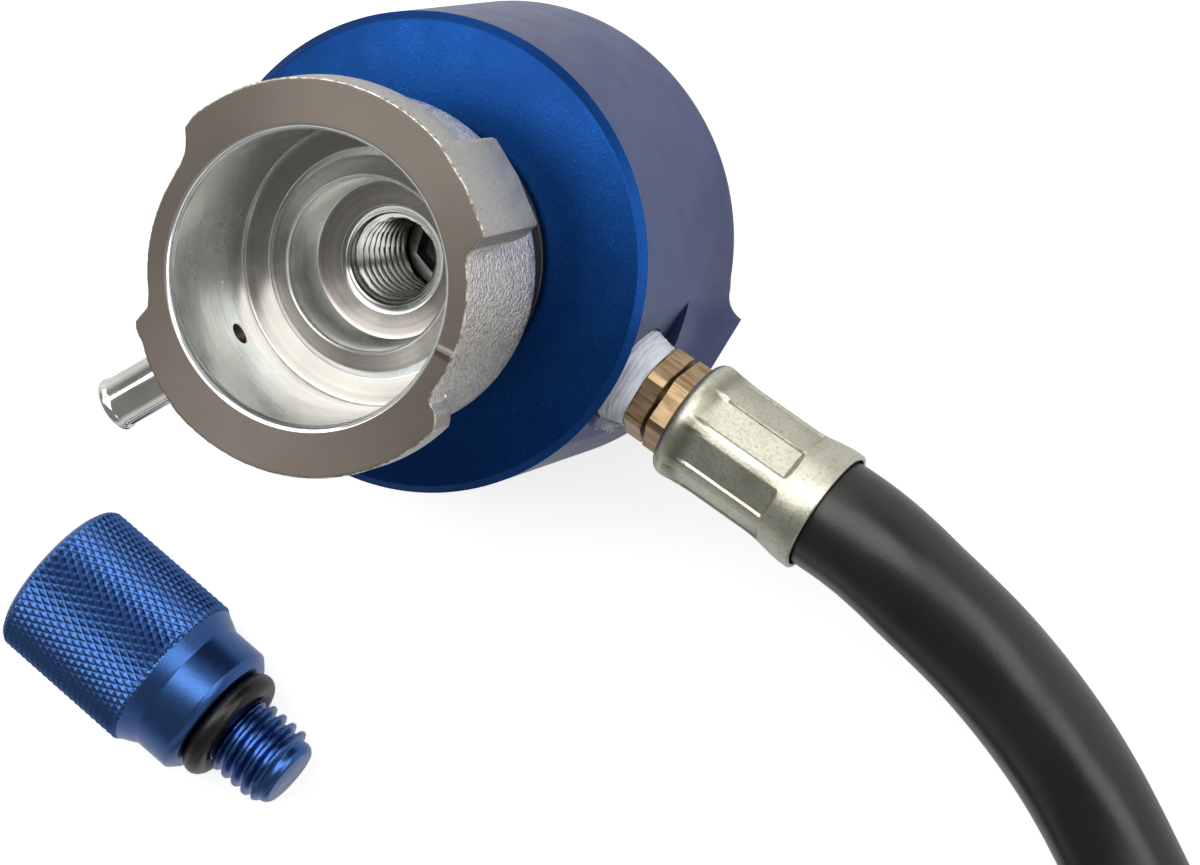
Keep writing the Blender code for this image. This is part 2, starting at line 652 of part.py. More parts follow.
def make_neck(head):
    """The filler neck with its two bayonet cams, stop tabs and notches, and its overflow pipe."""
    rows = []
    for half_turn in (0.0, math.pi):
        for azimuth, reach, cam_depth, full_depth in flange_stations():
            rows.append(neck_row(azimuth - half_turn, reach, cam_depth, full_depth))
    neck = node("filler_neck", skin("filler_neck", rows), BARE_ALUMINIUM, head)
    axis = place("pipe_axis", None, head, (0.0, 0.0, NECK_FACE_HEIGHT - PIPE_DEPTH), PIPE_AZIMUTH)
    socket_floor = PIPE_ROOT_DISTANCE - GAP
    inside = NECK_BORE_RADIUS - OVERRUN
    hole = [
        (0.0, inside),
        (PIPE_VENT_RADIUS, inside),
        (PIPE_VENT_RADIUS, socket_floor),
        (PIPE_RADIUS + GAP, socket_floor),
        (PIPE_RADIUS + GAP, FLANGE_RADIUS + OVERRUN),
        (0.0, FLANGE_RADIUS + OVERRUN),
    ]
    cut(neck, place("pipe_hole", revolve("pipe_hole", hole, SMALL_SEGMENTS, "X"), axis))
    lip = PIPE_ROUNDING
    pipe = [(PIPE_BORE_RADIUS, PIPE_ROOT_DISTANCE), (PIPE_RADIUS, PIPE_ROOT_DISTANCE)]
    pipe += rounding(PIPE_RADIUS - lip, PIPE_TIP_DISTANCE - lip, lip, 0.0, 90.0)
    pipe += [(PIPE_BORE_RADIUS, PIPE_TIP_DISTANCE)]
    node("overflow_pipe", revolve("overflow_pipe", pipe, SMALL_SEGMENTS, "X"), CHROME, axis)
    low = DRUM_HEIGHT + GAP
    high = low + NECK_GASKET_THICKNESS
    inner = SPIGOT_RADIUS + GAP
    gasket = [(inner, low), (NECK_GASKET_RADIUS, low), (NECK_GASKET_RADIUS, high), (inner, high)]
    node("neck_gasket", revolve("neck_gasket", gasket, MEDIUM_SEGMENTS), BLACK_RUBBER, head)
    make_nipple(head)


def make_nipple(head):
    """The hollow screw that holds the neck to the drum, turned by a key from inside the neck."""
    top = NIPPLE_TOP_HEIGHT
    socket = hexagon(NIPPLE_SOCKET)
    radius = THREAD_HOLE_RADIUS - GAP
    nipple = [
        (NIPPLE_BORE_RADIUS, top - NIPPLE_LENGTH),
        (radius, top - NIPPLE_LENGTH),
        (radius, top),
        (socket, top),
        (socket, top - NIPPLE_SOCKET_DEPTH),
        (NIPPLE_BORE_RADIUS, top - NIPPLE_SOCKET_DEPTH),
    ]
    node("nipple_screw", revolve("nipple_screw", nipple, SMALL_SEGMENTS), STEEL, head)


def make_adaptor(port):
    """The taped male adaptor that screws into the drum."""
    front = ADAPTOR_FRONT_DISTANCE
    hexed = ADAPTOR_HEX_DISTANCE
    end = hexed + ADAPTOR_HEX_LENGTH
    flats = hexagon(HEX_ACROSS_FLATS)
    socket = STEM_SPIGOT_RADIUS + GAP
    ring_low = SWIVEL_RING_DISTANCE - SWIVEL_RING_WIDTH / 2.0 - GAP
    ring_high = SWIVEL_RING_DISTANCE + SWIVEL_RING_WIDTH / 2.0 + GAP
    ring_groove = SWIVEL_RING_OUTER_RADIUS + GAP
    adaptor = [
        (ADAPTOR_BORE_RADIUS, front),
        (ADAPTOR_THREAD_RADIUS, front),
        (ADAPTOR_THREAD_RADIUS, hexed),
        (flats, hexed),
        (flats, end),
        (socket, end),
        (socket, ring_high),
        (ring_groove, ring_high),
        (ring_groove, ring_low),
        (socket, ring_low),
        (socket, STEM_SPIGOT_DISTANCE - GAP),
        (ADAPTOR_BORE_RADIUS, STEM_SPIGOT_DISTANCE - GAP),
    ]
    node("male_adaptor", revolve("male_adaptor", adaptor, SMALL_SEGMENTS, "X"), BRASS, port)
    inner = ADAPTOR_THREAD_RADIUS + GAP
    tape_end = hexed - GAP
    tape = [(inner, TAPE_FRONT_DISTANCE), (TAPE_RADIUS, TAPE_FRONT_DISTANCE),
            (TAPE_RADIUS, tape_end), (inner, tape_end)]
    node("thread_tape", revolve("thread_tape", tape, SMALL_SEGMENTS, "X"), WHITE_TAPE, port)


def barbs(start, end, count):
    """Saw-tooth outline of a hose barb, from its root to its tail."""
    points = []
    pitch = (end - start) / count
    for number in range(count):
        points.append((STEM_BARB_RADIUS, start + pitch * number))
        points.append((STEM_BARB_RADIUS - STEM_BARB_DROP, start + pitch * (number + 1)))
    return points


def make_swivel(port):
    """The stem that turns in the adaptor, with its ring and seal."""
    ring_low = SWIVEL_RING_DISTANCE - SWIVEL_RING_WIDTH / 2.0
    ring_high = SWIVEL_RING_DISTANCE + SWIVEL_RING_WIDTH / 2.0
    ring_floor = SWIVEL_RING_INNER_RADIUS - GAP
    seal_half = SWIVEL_ORING_SECTION / 2.0
    seal_floor = SWIVEL_ORING_RADIUS - seal_half - GAP
    hex_end = STEM_HEX_DISTANCE + STEM_HEX_LENGTH
    flats = hexagon(HEX_ACROSS_FLATS, HEX_MISMATCH)
    neck_end = FERRULE_BULGE_DISTANCE + GAP
    stem = [
        (STEM_BORE_RADIUS, STEM_SPIGOT_DISTANCE),
        (STEM_SPIGOT_RADIUS, STEM_SPIGOT_DISTANCE),
        (STEM_SPIGOT_RADIUS, SWIVEL_ORING_DISTANCE - seal_half - GAP),
        (seal_floor, SWIVEL_ORING_DISTANCE - seal_half - GAP),
        (seal_floor, SWIVEL_ORING_DISTANCE + seal_half + GAP),
        (STEM_SPIGOT_RADIUS, SWIVEL_ORING_DISTANCE + seal_half + GAP),
        (STEM_SPIGOT_RADIUS, ring_low - GAP),
        (ring_floor, ring_low - GAP),
        (ring_floor, ring_high + GAP),
        (STEM_SPIGOT_RADIUS, ring_high + GAP),
        (STEM_SPIGOT_RADIUS, STEM_HEX_DISTANCE),
        (flats, STEM_HEX_DISTANCE),
        (flats, hex_end),
        (STEM_NECK_RADIUS, hex_end),
        (STEM_NECK_RADIUS, neck_end),
    ]
    stem += barbs(neck_end, STEM_TAIL_DISTANCE, STEM_BARBS)
    stem += [(STEM_BORE_RADIUS, STEM_TAIL_DISTANCE)]
    angles = [HEX_MISMATCH + math.tau * step / SMALL_SEGMENTS for step in range(SMALL_SEGMENTS)]
    node("swivel_stem", revolve("swivel_stem", stem, SMALL_SEGMENTS, "X", angles), BRASS, port)
    oring = ring_outline(SWIVEL_ORING_RADIUS, SWIVEL_ORING_SECTION, SWIVEL_ORING_DISTANCE, 6)
    node("swivel_oring", revolve("swivel_oring", oring, SMALL_SEGMENTS, "X"), BLACK_RUBBER, port)
    inner = SWIVEL_RING_INNER_RADIUS
    outer = SWIVEL_RING_OUTER_RADIUS
    ring = [(inner, ring_low), (outer, ring_low), (outer, ring_high), (inner, ring_high)]
    node("swivel_ring", revolve("swivel_ring", ring, SMALL_SEGMENTS, "X"), STEEL, port)


def panel_angles():
    """Angles round the ferrule that fall on the edges of its crimped panels."""
    period = math.tau / PANELS
    half_rib = period * PANEL_RIB_SHARE / 2.0
    edge = PANEL_EDGE / FERRULE_CRIMP_RADIUS
    within = (0.0, half_rib, half_rib + edge, period / 2.0, period - half_rib - edge, period - half_rib)
    return [PANEL_TURN + period * number + part for number in range(PANELS) for part in within]


def panelled(angle):
    """Radius of the crimped part at an angle: a rib, or a panel pressed below it."""
    period = math.tau / PANELS
    half_rib = period * PANEL_RIB_SHARE / 2.0
    edge = PANEL_EDGE / FERRULE_CRIMP_RADIUS
    within = (angle - PANEL_TURN) % period
    pressed = half_rib + edge / 2.0 < within < period - half_rib - edge / 2.0
    return FERRULE_CRIMP_RADIUS - (PANEL_RECESS if pressed else 0.0)


def ferrule_mesh():
    """The crimped sleeve: a rounded nose, eight pressed panels and a flared mouth."""
    wall = FERRULE_WALL
    mouth = FERRULE_MOUTH_DISTANCE
    flare_start = PANEL_END_DISTANCE + 2.0 * PANEL_EDGE
    inner_crimp = CRIMPED_HOSE_RADIUS + GAP
    nose_wall = FERRULE_BULGE_DISTANCE + wall
    profile = [
        (STEM_NECK_RADIUS + GAP, FERRULE_FRONT_DISTANCE),
        (FERRULE_FRONT_RADIUS, FERRULE_FRONT_DISTANCE),
        (FERRULE_BULGE_RADIUS, FERRULE_BULGE_DISTANCE),
        (FERRULE_CRIMP_RADIUS, FERRULE_BULGE_DISTANCE + FERRULE_BULGE_RADIUS - FERRULE_FRONT_RADIUS),
        (FERRULE_CRIMP_RADIUS, PANEL_START_DISTANCE),
        (panelled, PANEL_START_DISTANCE + PANEL_EDGE),
        (panelled, PANEL_END_DISTANCE - PANEL_EDGE),
        (FERRULE_CRIMP_RADIUS, PANEL_END_DISTANCE),
        (FERRULE_CRIMP_RADIUS, flare_start),
        (FERRULE_FLARE_RADIUS, mouth - wall),
        (FERRULE_FLARE_RADIUS - PANEL_EDGE, mouth),
        (HOSE_RADIUS + GAP, mouth),
        (inner_crimp, flare_start),
        (inner_crimp, nose_wall),
        (STEM_NECK_RADIUS + GAP, nose_wall),
    ]
    return revolve("ferrule", profile, SMALL_SEGMENTS, "X", panel_angles())


def hose_end_mesh():
    """The end of the hose inside its ferrule, squeezed onto the barb."""
    bore = STEM_BARB_RADIUS + GAP
    start = FERRULE_BULGE_DISTANCE + FERRULE_WALL + GAP
    flare_start = PANEL_END_DISTANCE + 2.0 * PANEL_EDGE
    profile = [
        (bore, start),
        (CRIMPED_HOSE_RADIUS, start),
        (CRIMPED_HOSE_RADIUS, flare_start),
        (HOSE_RADIUS, FERRULE_MOUTH_DISTANCE),
        (bore, FERRULE_MOUTH_DISTANCE),
    ]
    return revolve("hose_end", profile, SMALL_SEGMENTS, "X")


def make_hose_ends(port, far):
    """The same ferrule and hose end at both ends of the hose."""
    node("hose_ferrule", ferrule_mesh(), ZINC, port)
    node("crimped_hose_end", hose_end_mesh(), BLACK_RUBBER, port)
    node("far_ferrule", ferrule_mesh(), ZINC, far)
    node("far_hose_end", hose_end_mesh(), BLACK_RUBBER, far)


def make_far_connector(far):
    """The barbed stem and the steel plug-in connector on the hose's far end."""
    flats = hexagon(FAR_STEM_HEX)
    thread_end = FAR_STEM_THREAD_DISTANCE
    hexed = FAR_STEM_HEX_DISTANCE
    hex_end = STEM_HEX_DISTANCE + STEM_HEX_LENGTH
    neck_end = FERRULE_BULGE_DISTANCE + GAP
    stem = [
        (STEM_BORE_RADIUS, thread_end),
        (FAR_STEM_THREAD_RADIUS, thread_end),
        (FAR_STEM_THREAD_RADIUS, hexed),
        (flats, hexed),
        (flats, hex_end),
        (STEM_NECK_RADIUS, hex_end),
        (STEM_NECK_RADIUS, neck_end),
    ]
    stem += barbs(neck_end, STEM_TAIL_DISTANCE, STEM_BARBS)
    stem += [(STEM_BORE_RADIUS, STEM_TAIL_DISTANCE)]
    node("far_stem", revolve("far_stem", stem, SMALL_SEGMENTS, "X"), BRASS, far)
    mouth = hexed - GAP
    hex_front = mouth - CONNECTOR_HEX_LENGTH
    neck_front = hex_front - CONNECTOR_NECK_LENGTH
    collar_front = neck_front - CONNECTOR_COLLAR_LENGTH
    slope = CONNECTOR_COLLAR_RADIUS - CONNECTOR_NECK_RADIUS
    tip = collar_front - CONNECTOR_NOSE_LENGTH
    rounded = CONNECTOR_TIP_ROUNDING
    flats = hexagon(CONNECTOR_HEX, math.radians(30.0))
    nose = rounding(CONNECTOR_NOSE_RADIUS - rounded, tip + rounded, rounded, 0.0, -90.0)
    connector = [
        (CONNECTOR_BORE_RADIUS, mouth),
        (flats, mouth),
        (flats, hex_front),
        (CONNECTOR_NECK_RADIUS, hex_front),
        (CONNECTOR_NECK_RADIUS, neck_front + slope),
        (CONNECTOR_COLLAR_RADIUS, neck_front),
        (CONNECTOR_COLLAR_RADIUS, collar_front + slope),
        (CONNECTOR_NOSE_RADIUS, collar_front),
    ]
    connector += nose
    connector += [
        (CONNECTOR_TIP_BORE_RADIUS, tip),
        (CONNECTOR_TIP_BORE_RADIUS, thread_end - GAP),
        (CONNECTOR_BORE_RADIUS, thread_end - GAP),
    ]
    node("hose_connector", revolve("hose_connector", connector, SMALL_SEGMENTS, "X"), STEEL, far)


def smooth(points, first_tangent, last_tangent, steps=12):
    """Points along a smooth curve through the given ones, with set directions at both ends."""
    tangents = [first_tangent]
    for before, after in zip(points, points[2:]):
        tangents.append((after - before) / 2.0)
    tangents.append(last_tangent)
    curve = [points[0]]
    for index in range(len(points) - 1):
        start, end = points[index], points[index + 1]
        for step in range(1, steps + 1):
            t = step / steps
            curve.append(
                start * (2 * t**3 - 3 * t**2 + 1) + tangents[index] * (t**3 - 2 * t**2 + t)
                + end * (3 * t**2 - 2 * t**3) + tangents[index + 1] * (t**3 - t**2)
            )
    return curve


def read_along(curve, spacing):
    """Evenly spaced points of a fine polyline, both ends kept."""
    reach = [0.0]
    for before, after in zip(curve, curve[1:]):
        reach.append(reach[-1] + (after - before).length)
    count = max(1, round(reach[-1] / spacing))
    points = []
    index = 0
    for step in range(count + 1):
        goal = reach[-1] * step / count
        while index < len(reach) - 2 and reach[index + 1] < goal:
            index += 1
        share = (goal - reach[index]) / (reach[index + 1] - reach[index])
        points.append(curve[index].lerp(curve[index + 1], min(1.0, share)))
    return points


def least_gap(points, diameter):
    """Least clear distance in millimetres between stretches of a tube that aren't neighbours."""
    reach = [0.0]
    for before, after in zip(points, points[1:]):
        reach.append(reach[-1] + (after - before).length)
    least = math.inf
    for first, start in enumerate(points):
        for second in range(first + 1, len(points)):
            if reach[second] - reach[first] < 4.0 * diameter:
                continue
            least = min(least, (points[second] - start).length - diameter)
    return round(least * 1000.0, 3)


def tube(name, points, radius, resolution, finish, parent):
    """A round tube with filled ends along a line of points."""
    curve = bpy.data.curves.new(name, "CURVE")
    curve.dimensions = "3D"
    curve.bevel_depth = radius
    curve.bevel_resolution = resolution
    curve.use_fill_caps = True
    line = curve.splines.new("POLY")
    line.points.add(len(points) - 1)
    for knot, point in zip(line.points, points):
        knot.co = (*point, 1.0)
    return node(name, curve, finish, parent)


def coil_points():
    """The put-away length: a flat spiral, a wide bend inside it and a straight end.

    Returns its points and its headings at both ends.
    """
    centre = Vector((COIL_X, COIL_Y, COIL_HEIGHT))
    steps = round(COIL_TURNS * COIL_POINTS)
    points = []
    for step in range(steps + 1):
        turned = COIL_TURNS * math.tau * step / steps
        radius = COIL_RADIUS - COIL_PITCH * turned / math.tau
        points.append(centre + Vector(around(radius, COIL_START_AZIMUTH - turned)))
    azimuth = COIL_START_AZIMUTH - COIL_TURNS * math.tau
    inward = -Vector(around(1.0, azimuth))
    pivot = points[-1] + inward * TAIL_RADIUS
    bend_steps = round(TAIL_ANGLE / math.tau * COIL_POINTS)
    for step in range(1, bend_steps + 1):
        turned = TAIL_ANGLE * step / bend_steps
        rise = max(0.0, 1.0 - (TAIL_ANGLE - turned) / TAIL_RISE_ANGLE)
        lift = (FAR_END_HEIGHT - COIL_HEIGHT) * rise * rise * (3.0 - 2.0 * rise)
        points.append(pivot + Vector(around(TAIL_RADIUS, azimuth - turned, lift)))
    heading = azimuth - TAIL_ANGLE - math.radians(90.0)
    ahead = Vector(around(1.0, heading))
    end = points[-1] + ahead * 2.0 * HOSE_RADIUS
    start_heading = Vector(around(1.0, COIL_START_AZIMUTH - math.radians(90.0)))
    start = points[0] - start_heading * 2.0 * HOSE_RADIUS
    return [start] + points + [end], start_heading, heading


def make_hose(head, port_direction):
    """The hose from its ferrule down to the ground and into a neat flat turn beside the head."""
    coil, coil_heading, end_heading = coil_points()
    mouth = FERRULE_MOUTH_DISTANCE + GAP
    start = port_direction * mouth + Vector((0.0, 0.0, PORT_HEIGHT))
    straight = start + port_direction * HOSE_STRAIGHT
    end = coil[0] - coil_heading * GAP
    before_end = end - coil_heading * HOSE_STRAIGHT
    way = [straight] + [Vector(point) for point in HOSE_ROUTE] + [before_end]
    first = port_direction * (way[1] - way[0]).length
    last = coil_heading * (way[-1] - way[-2]).length
    run = [start] + read_along(smooth(way, first, last), HOSE_STEP) + [end]
    tube("hose_run", run, HOSE_RADIUS, 4, BLACK_RUBBER, head)
    tube("hose_coil", coil, HOSE_RADIUS, 1, BLACK_RUBBER, head)
    print("least gap in the coil, mm:", least_gap(coil, 2.0 * HOSE_RADIUS))
    length = sum((b - a).length for line in (run, coil) for a, b in zip(line, line[1:]))
    inside = FERRULE_MOUTH_DISTANCE - FERRULE_BULGE_DISTANCE
    print("hose length, m:", round(length + 2.0 * inside, 4))
    return coil[-1], end_heading


def make_plug():
    """The loose knurled plug with its seal, lying on its knurled part."""
    axis = place("plug_axis", None, None, (PLUG_X, PLUG_Y, KNURL_RADIUS), PLUG_HEADING)
    edge = KNURL_ROUNDING
    cone_end = KNURL_LENGTH + PLUG_CONE_LENGTH
    collar_end = cone_end + COLLAR_LENGTH
    oring_half = PLUG_ORING_SECTION / 2.0
    oring_middle = collar_end + GAP + oring_half
    thread_start = oring_middle + oring_half + GAP
    thread_end = thread_start + PLUG_THREAD_PITCH * PLUG_THREADS
    profile = [(0.0, 0.0)]
    profile += rounding(KNURL_RADIUS - edge, edge, edge, -90.0, 0.0)
    profile += [
        (KNURL_RADIUS, KNURL_LENGTH),
        (COLLAR_RADIUS, cone_end),
        (COLLAR_RADIUS, collar_end - COLLAR_CHAMFER),
        (COLLAR_RADIUS - COLLAR_CHAMFER, collar_end),
        (PLUG_NECK_RADIUS, collar_end),
        (PLUG_NECK_RADIUS, thread_start),
    ]
    for number in range(PLUG_THREADS):
        root = thread_start + PLUG_THREAD_PITCH * number
        profile.append((PLUG_THREAD_ROOT_RADIUS, root + PLUG_THREAD_PITCH * PLUG_ROOT_END_SHARE))
        profile.append((PLUG_THREAD_RADIUS, root + PLUG_THREAD_PITCH * PLUG_CREST_START_SHARE))
        profile.append((PLUG_THREAD_RADIUS, root + PLUG_THREAD_PITCH * PLUG_CREST_END_SHARE))
    profile += [
        (PLUG_THREAD_ROOT_RADIUS, thread_end),
        (PLUG_THREAD_ROOT_RADIUS - PLUG_TIP_CHAMFER, thread_end + PLUG_TIP_CHAMFER),
        (0.0, thread_end + PLUG_TIP_CHAMFER),
    ]
    node("knurled_plug", revolve("knurled_plug", profile, SMALL_SEGMENTS, "X"), BLUE_ANODISED, axis)
    oring = ring_outline(PLUG_ORING_RADIUS, PLUG_ORING_SECTION, oring_middle)
    node("plug_oring", revolve("plug_oring", oring, SMALL_SEGMENTS, "X"), BLACK_RUBBER, axis)


def main():
    """Build the whole object."""
    clear_scene()
    head = place("head_axis", None, None, (HEAD_X, HEAD_Y, 0.0))
    port = place("port_axis", None, head, (0.0, 0.0, PORT_HEIGHT), PORT_AZIMUTH)
    make_drum(head, port)
    make_ears(head)
    make_carrier(head)
    make_neck(head)
    make_adaptor(port)
    make_swivel(port)
    end, heading = make_hose(head, Vector(around(1.0, PORT_AZIMUTH)))
    back = Vector(around(1.0, heading + math.pi))
    far_place = end - back * (FERRULE_MOUTH_DISTANCE + GAP)
    far = place("far_axis", None, head, far_place, heading + math.pi)
    make_hose_ends(port, far)
    make_far_connector(far)
    make_plug()


main()
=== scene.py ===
"""Looks of the cap test head, its hose and its loose plug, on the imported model.

Objects are in metres, +Z up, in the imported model's frame. Outlines are in millimetres,
each in the frame of the axis that its piece is turned about.
"""

import math

import bmesh
import bpy
import numpy as np
from mathutils import Matrix, Vector


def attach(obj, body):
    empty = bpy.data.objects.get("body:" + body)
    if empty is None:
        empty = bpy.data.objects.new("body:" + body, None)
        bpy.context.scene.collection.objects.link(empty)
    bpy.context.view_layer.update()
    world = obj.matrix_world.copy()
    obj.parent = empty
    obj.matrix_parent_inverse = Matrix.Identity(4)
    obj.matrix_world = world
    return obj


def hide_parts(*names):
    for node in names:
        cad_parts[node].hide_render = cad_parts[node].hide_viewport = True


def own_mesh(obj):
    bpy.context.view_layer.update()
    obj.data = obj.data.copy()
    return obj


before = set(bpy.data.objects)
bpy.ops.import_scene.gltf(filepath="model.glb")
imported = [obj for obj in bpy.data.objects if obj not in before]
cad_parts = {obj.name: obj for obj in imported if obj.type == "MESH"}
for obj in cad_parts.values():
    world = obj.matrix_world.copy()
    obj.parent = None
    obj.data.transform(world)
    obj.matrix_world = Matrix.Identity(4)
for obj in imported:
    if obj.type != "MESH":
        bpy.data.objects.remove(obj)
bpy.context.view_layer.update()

MM = 0.001
SHARP_ANGLE = math.radians(32.0)

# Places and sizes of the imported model, in metres
HEAD_PLACE = (0.00524, 0.01988, 0.0)
PORT_AZIMUTH = math.radians(-32.0)
PORT_HEIGHT = 0.0205
PIPE_AZIMUTH = math.radians(-150.7)
PIPE_HEIGHT = 0.04675
PLUG_PLACE = (-0.04766, -0.02152, 0.0100)
PLUG_HEADING = math.radians(-37.0)
HOSE_RADIUS = 0.0065
FERRULE_MOUTH = 0.0521
GAP = 0.0003
HOSE_ROUTE = (
    (0.0536, -0.0350, 0.0195),
    (0.0602, -0.0423, 0.0162),
    (0.0650, -0.0496, 0.0122),
    (0.0690, -0.0571, 0.0087),
    (0.0732, -0.0656, 0.0070),
    (0.0806, -0.0802, 0.0067),
    (0.0910, -0.1004, 0.0067),
)
COIL_CENTRE = (0.0266, -0.1587, 0.0067)
COIL_RADIUS = 0.0840
COIL_PITCH = 0.0137
COIL_START_AZIMUTH = math.radians(27.0)
COIL_TURNS = 0.9
TAIL_RADIUS = 0.0530
TAIL_ANGLE = math.radians(160.0)
TAIL_RISE_ANGLE = math.radians(60.0)
FAR_END_HEIGHT = 0.0076

# The ferrule's looks sit this much further in than its solid, in metres
FERRULE_INSET = 0.0005

# Sizes that several pieces share, in millimetres
DRUM_RADIUS = 26.25
DRUM_FACE = 29.58
NECK_FACE = 59.74
LUG_ANGLE = math.radians(13.55)
LUG_FOOT_ANGLE = math.radians(19.13)
EAR_AZIMUTHS = (PORT_AZIMUTH, PORT_AZIMUTH + math.pi)
EAR_INNER = 18.4
EAR_SCREW_RADIUS = 23.2
BRASS_HEXAGON = 10.0
BRASS_CORNER = 5.52
THREAD_PITCH = 1.5
FERRULE_TURN = math.radians(32.0)

HEAD = Matrix.Translation(HEAD_PLACE)
PORT = HEAD @ Matrix.Translation((0.0, 0.0, PORT_HEIGHT)) @ Matrix.Rotation(PORT_AZIMUTH, 4, "Z")
PIPE = HEAD @ Matrix.Translation((0.0, 0.0, PIPE_HEIGHT)) @ Matrix.Rotation(PIPE_AZIMUTH, 4, "Z")
PLUG = Matrix.Translation(PLUG_PLACE) @ Matrix.Rotation(PLUG_HEADING, 4, "Z")


# Materials

def tone(red, green, blue):
    """Linear colour of an 8-bit display colour."""
    def linear(value):
        share = value / 255.0
        return share / 12.92 if share <= 0.04045 else ((share + 0.055) / 1.055) ** 2.4
    return linear(red), linear(green), linear(blue)


def feed(node, **inputs):
    """The node with these inputs, named with _ for a space: values, or outputs to link."""
    for name, value in inputs.items():
        socket = node.inputs[name.replace("_", " ")]
        if isinstance(value, bpy.types.NodeSocket):
            node.id_data.links.new(value, socket)
        else:
            socket.default_value = value
    return node


class Look:
    """One material: a Principled shader and the patterns that feed it.

    Patterns are read from object coordinates, which are metres in the piece's own frame. What
    drives a pattern is a node's output, or (scale, detail, stretch) of a noise.
    """

    def __init__(self, name, colour, metallic, roughness, **inputs):
        self.material = bpy.data.materials.new(name)
        self.material.use_nodes = True
        self.material.diffuse_color = (*colour, 1.0)
        self.tree = self.material.node_tree
        self.colour = colour
        self.shader = feed(self.tree.nodes["Principled BSDF"], Base_Color=(*colour, 1.0),
                           Metallic=metallic, Roughness=roughness, **inputs)

    def node(self, kind, **inputs):
        """A new node with these inputs."""
        return feed(self.tree.nodes.new(kind), **inputs)

    def place(self):
        """Object coordinates."""
        return self.node("ShaderNodeTexCoord").outputs["Object"]

    def noise(self, scale, detail=3.0, stretch=(1.0, 1.0, 1.0)):
        """Cloudy grain of a scale in cells per metre."""
        where = self.node("ShaderNodeMapping", Vector=self.place(), Scale=stretch)
        made = self.node("ShaderNodeTexNoise", Vector=where.outputs["Vector"], Scale=scale,
                         Detail=detail, Roughness=0.55)
        return made.outputs["Fac"]

    def turned(self, axis, scale):
        """Lathe marks: grain that changes along the axis and with the radius, not round it."""
        parts = self.node("ShaderNodeSeparateXYZ", Vector=self.place())
        along = parts.outputs[axis]
        across = [parts.outputs[other] for other in "XYZ" if other != axis]
        flat = self.node("ShaderNodeCombineXYZ", X=across[0], Y=across[1])
        radius = self.node("ShaderNodeVectorMath", Vector=flat.outputs["Vector"])
        radius.operation = "LENGTH"
        spot = self.node("ShaderNodeCombineXYZ", X=radius.outputs["Value"], Y=along)
        made = self.node("ShaderNodeTexNoise", Vector=spot.outputs["Vector"], Scale=scale, Detail=2.0)
        return made.outputs["Fac"]

    def band(self, axis, start, end, soft):
        """One between two places along an axis, nought outside, with soft borders."""
        along = self.node("ShaderNodeSeparateXYZ", Vector=self.place()).outputs[axis]
        made = self.node("ShaderNodeMath", Value=self.spread(along, start - soft, start + soft))
        made.operation = "MULTIPLY"
        self.tree.links.new(self.spread(along, end - soft, end + soft, 1.0, 0.0), made.inputs[1])
        return made.outputs["Value"]

    def spread(self, source, low, high, at_low=0.0, at_high=1.0):
        """The source's range from low to high, mapped to another range."""
        source = self.noise(*source) if isinstance(source, tuple) else source
        made = self.node("ShaderNodeMapRange", Value=source, From_Min=low, From_Max=high,
                         To_Min=at_low, To_Max=at_high)
        return made.outputs["Result"]

    def tint(self, source, colour, low=0.35, high=0.65):
        """Turn the base colour towards another one where the source is high."""
        base = self.shader.inputs["Base Color"]
        before = base.links[0].from_socket if base.is_linked else (*self.colour, 1.0)
        mix = self.node("ShaderNodeMix")
        mix.data_type = "RGBA"
        self.tree.links.new(self.spread(source, low, high), mix.inputs["Factor"])
        first, second = mix.inputs[6], mix.inputs[7]  # the two colours of this node
        if isinstance(before, bpy.types.NodeSocket):
            self.tree.links.new(before, first)
        else:
            first.default_value = before
        second.default_value = (*colour, 1.0)
        self.tree.links.new(mix.outputs[2], base)

    def roughen(self, source, smooth, rough, low=0.3, high=0.7):
        """Roughness that follows the source."""
        feed(self.shader, Roughness=self.spread(source, low, high, smooth, rough))

    def bump(self, source, depth):
        """Relief of a depth in metres, on top of any before it."""
        source = self.noise(*source) if isinstance(source, tuple) else source
        normal = self.shader.inputs["Normal"]
        made = self.node("ShaderNodeBump", Height=source, Distance=depth, Strength=1.0)
        if normal.is_linked:
            feed(made, Normal=normal.links[0].from_socket)
        feed(self.shader, Normal=made.outputs["Normal"])

    def grooved(self, axis):
        """Lay the highlight's stretch across grooves that run round this axis."""
        made = self.node("ShaderNodeTangent")
        made.direction_type = "RADIAL"
        made.axis = axis
        feed(self.shader, Tangent=made.outputs["Tangent"])


def anodised(name, colour, painted_glint_colour, roughness=0.36, coat=0.03, painted_glint_level=0.7):
    """Blue anodised aluminium, bead blasted, with fine paler flecks painted into its colour as glints."""
    look = Look(name, colour, 1.0, roughness, Coat_Weight=coat, Coat_Roughness=0.33,
                Specular_Tint=(0.82, 0.82, 0.86, 1.0))
    # Painted glints: fine flecks of a paler blue in the base colour
    look.tint((5600.0, 2.0), painted_glint_colour, painted_glint_level - 0.12, painted_glint_level + 0.10)
    look.tint((60.0, 3.0), tuple(part * 0.82 for part in colour), 0.45, 0.7)
    look.bump((3400.0, 3.0), 0.000018)
    look.roughen((240.0, 4.0), roughness - 0.03, roughness + 0.04)
    return look


def turned_metal(name, colour, roughness, axis="Z", anisotropic=0.6, depth=0.000006):
    """Bare metal with lathe marks."""
    look = Look(name, colour, 1.0, roughness, Anisotropic=anisotropic, Anisotropic_Rotation=0.25)
    look.grooved(axis)
    look.bump(look.turned(axis, 5200.0), depth)
    look.bump(look.turned(axis, 900.0), depth)
    look.tint(look.turned(axis, 1700.0), tuple(part * 0.82 for part in colour), 0.4, 0.7)
    look.roughen((180.0, 4.0), roughness - 0.05, roughness + 0.07)
    return look
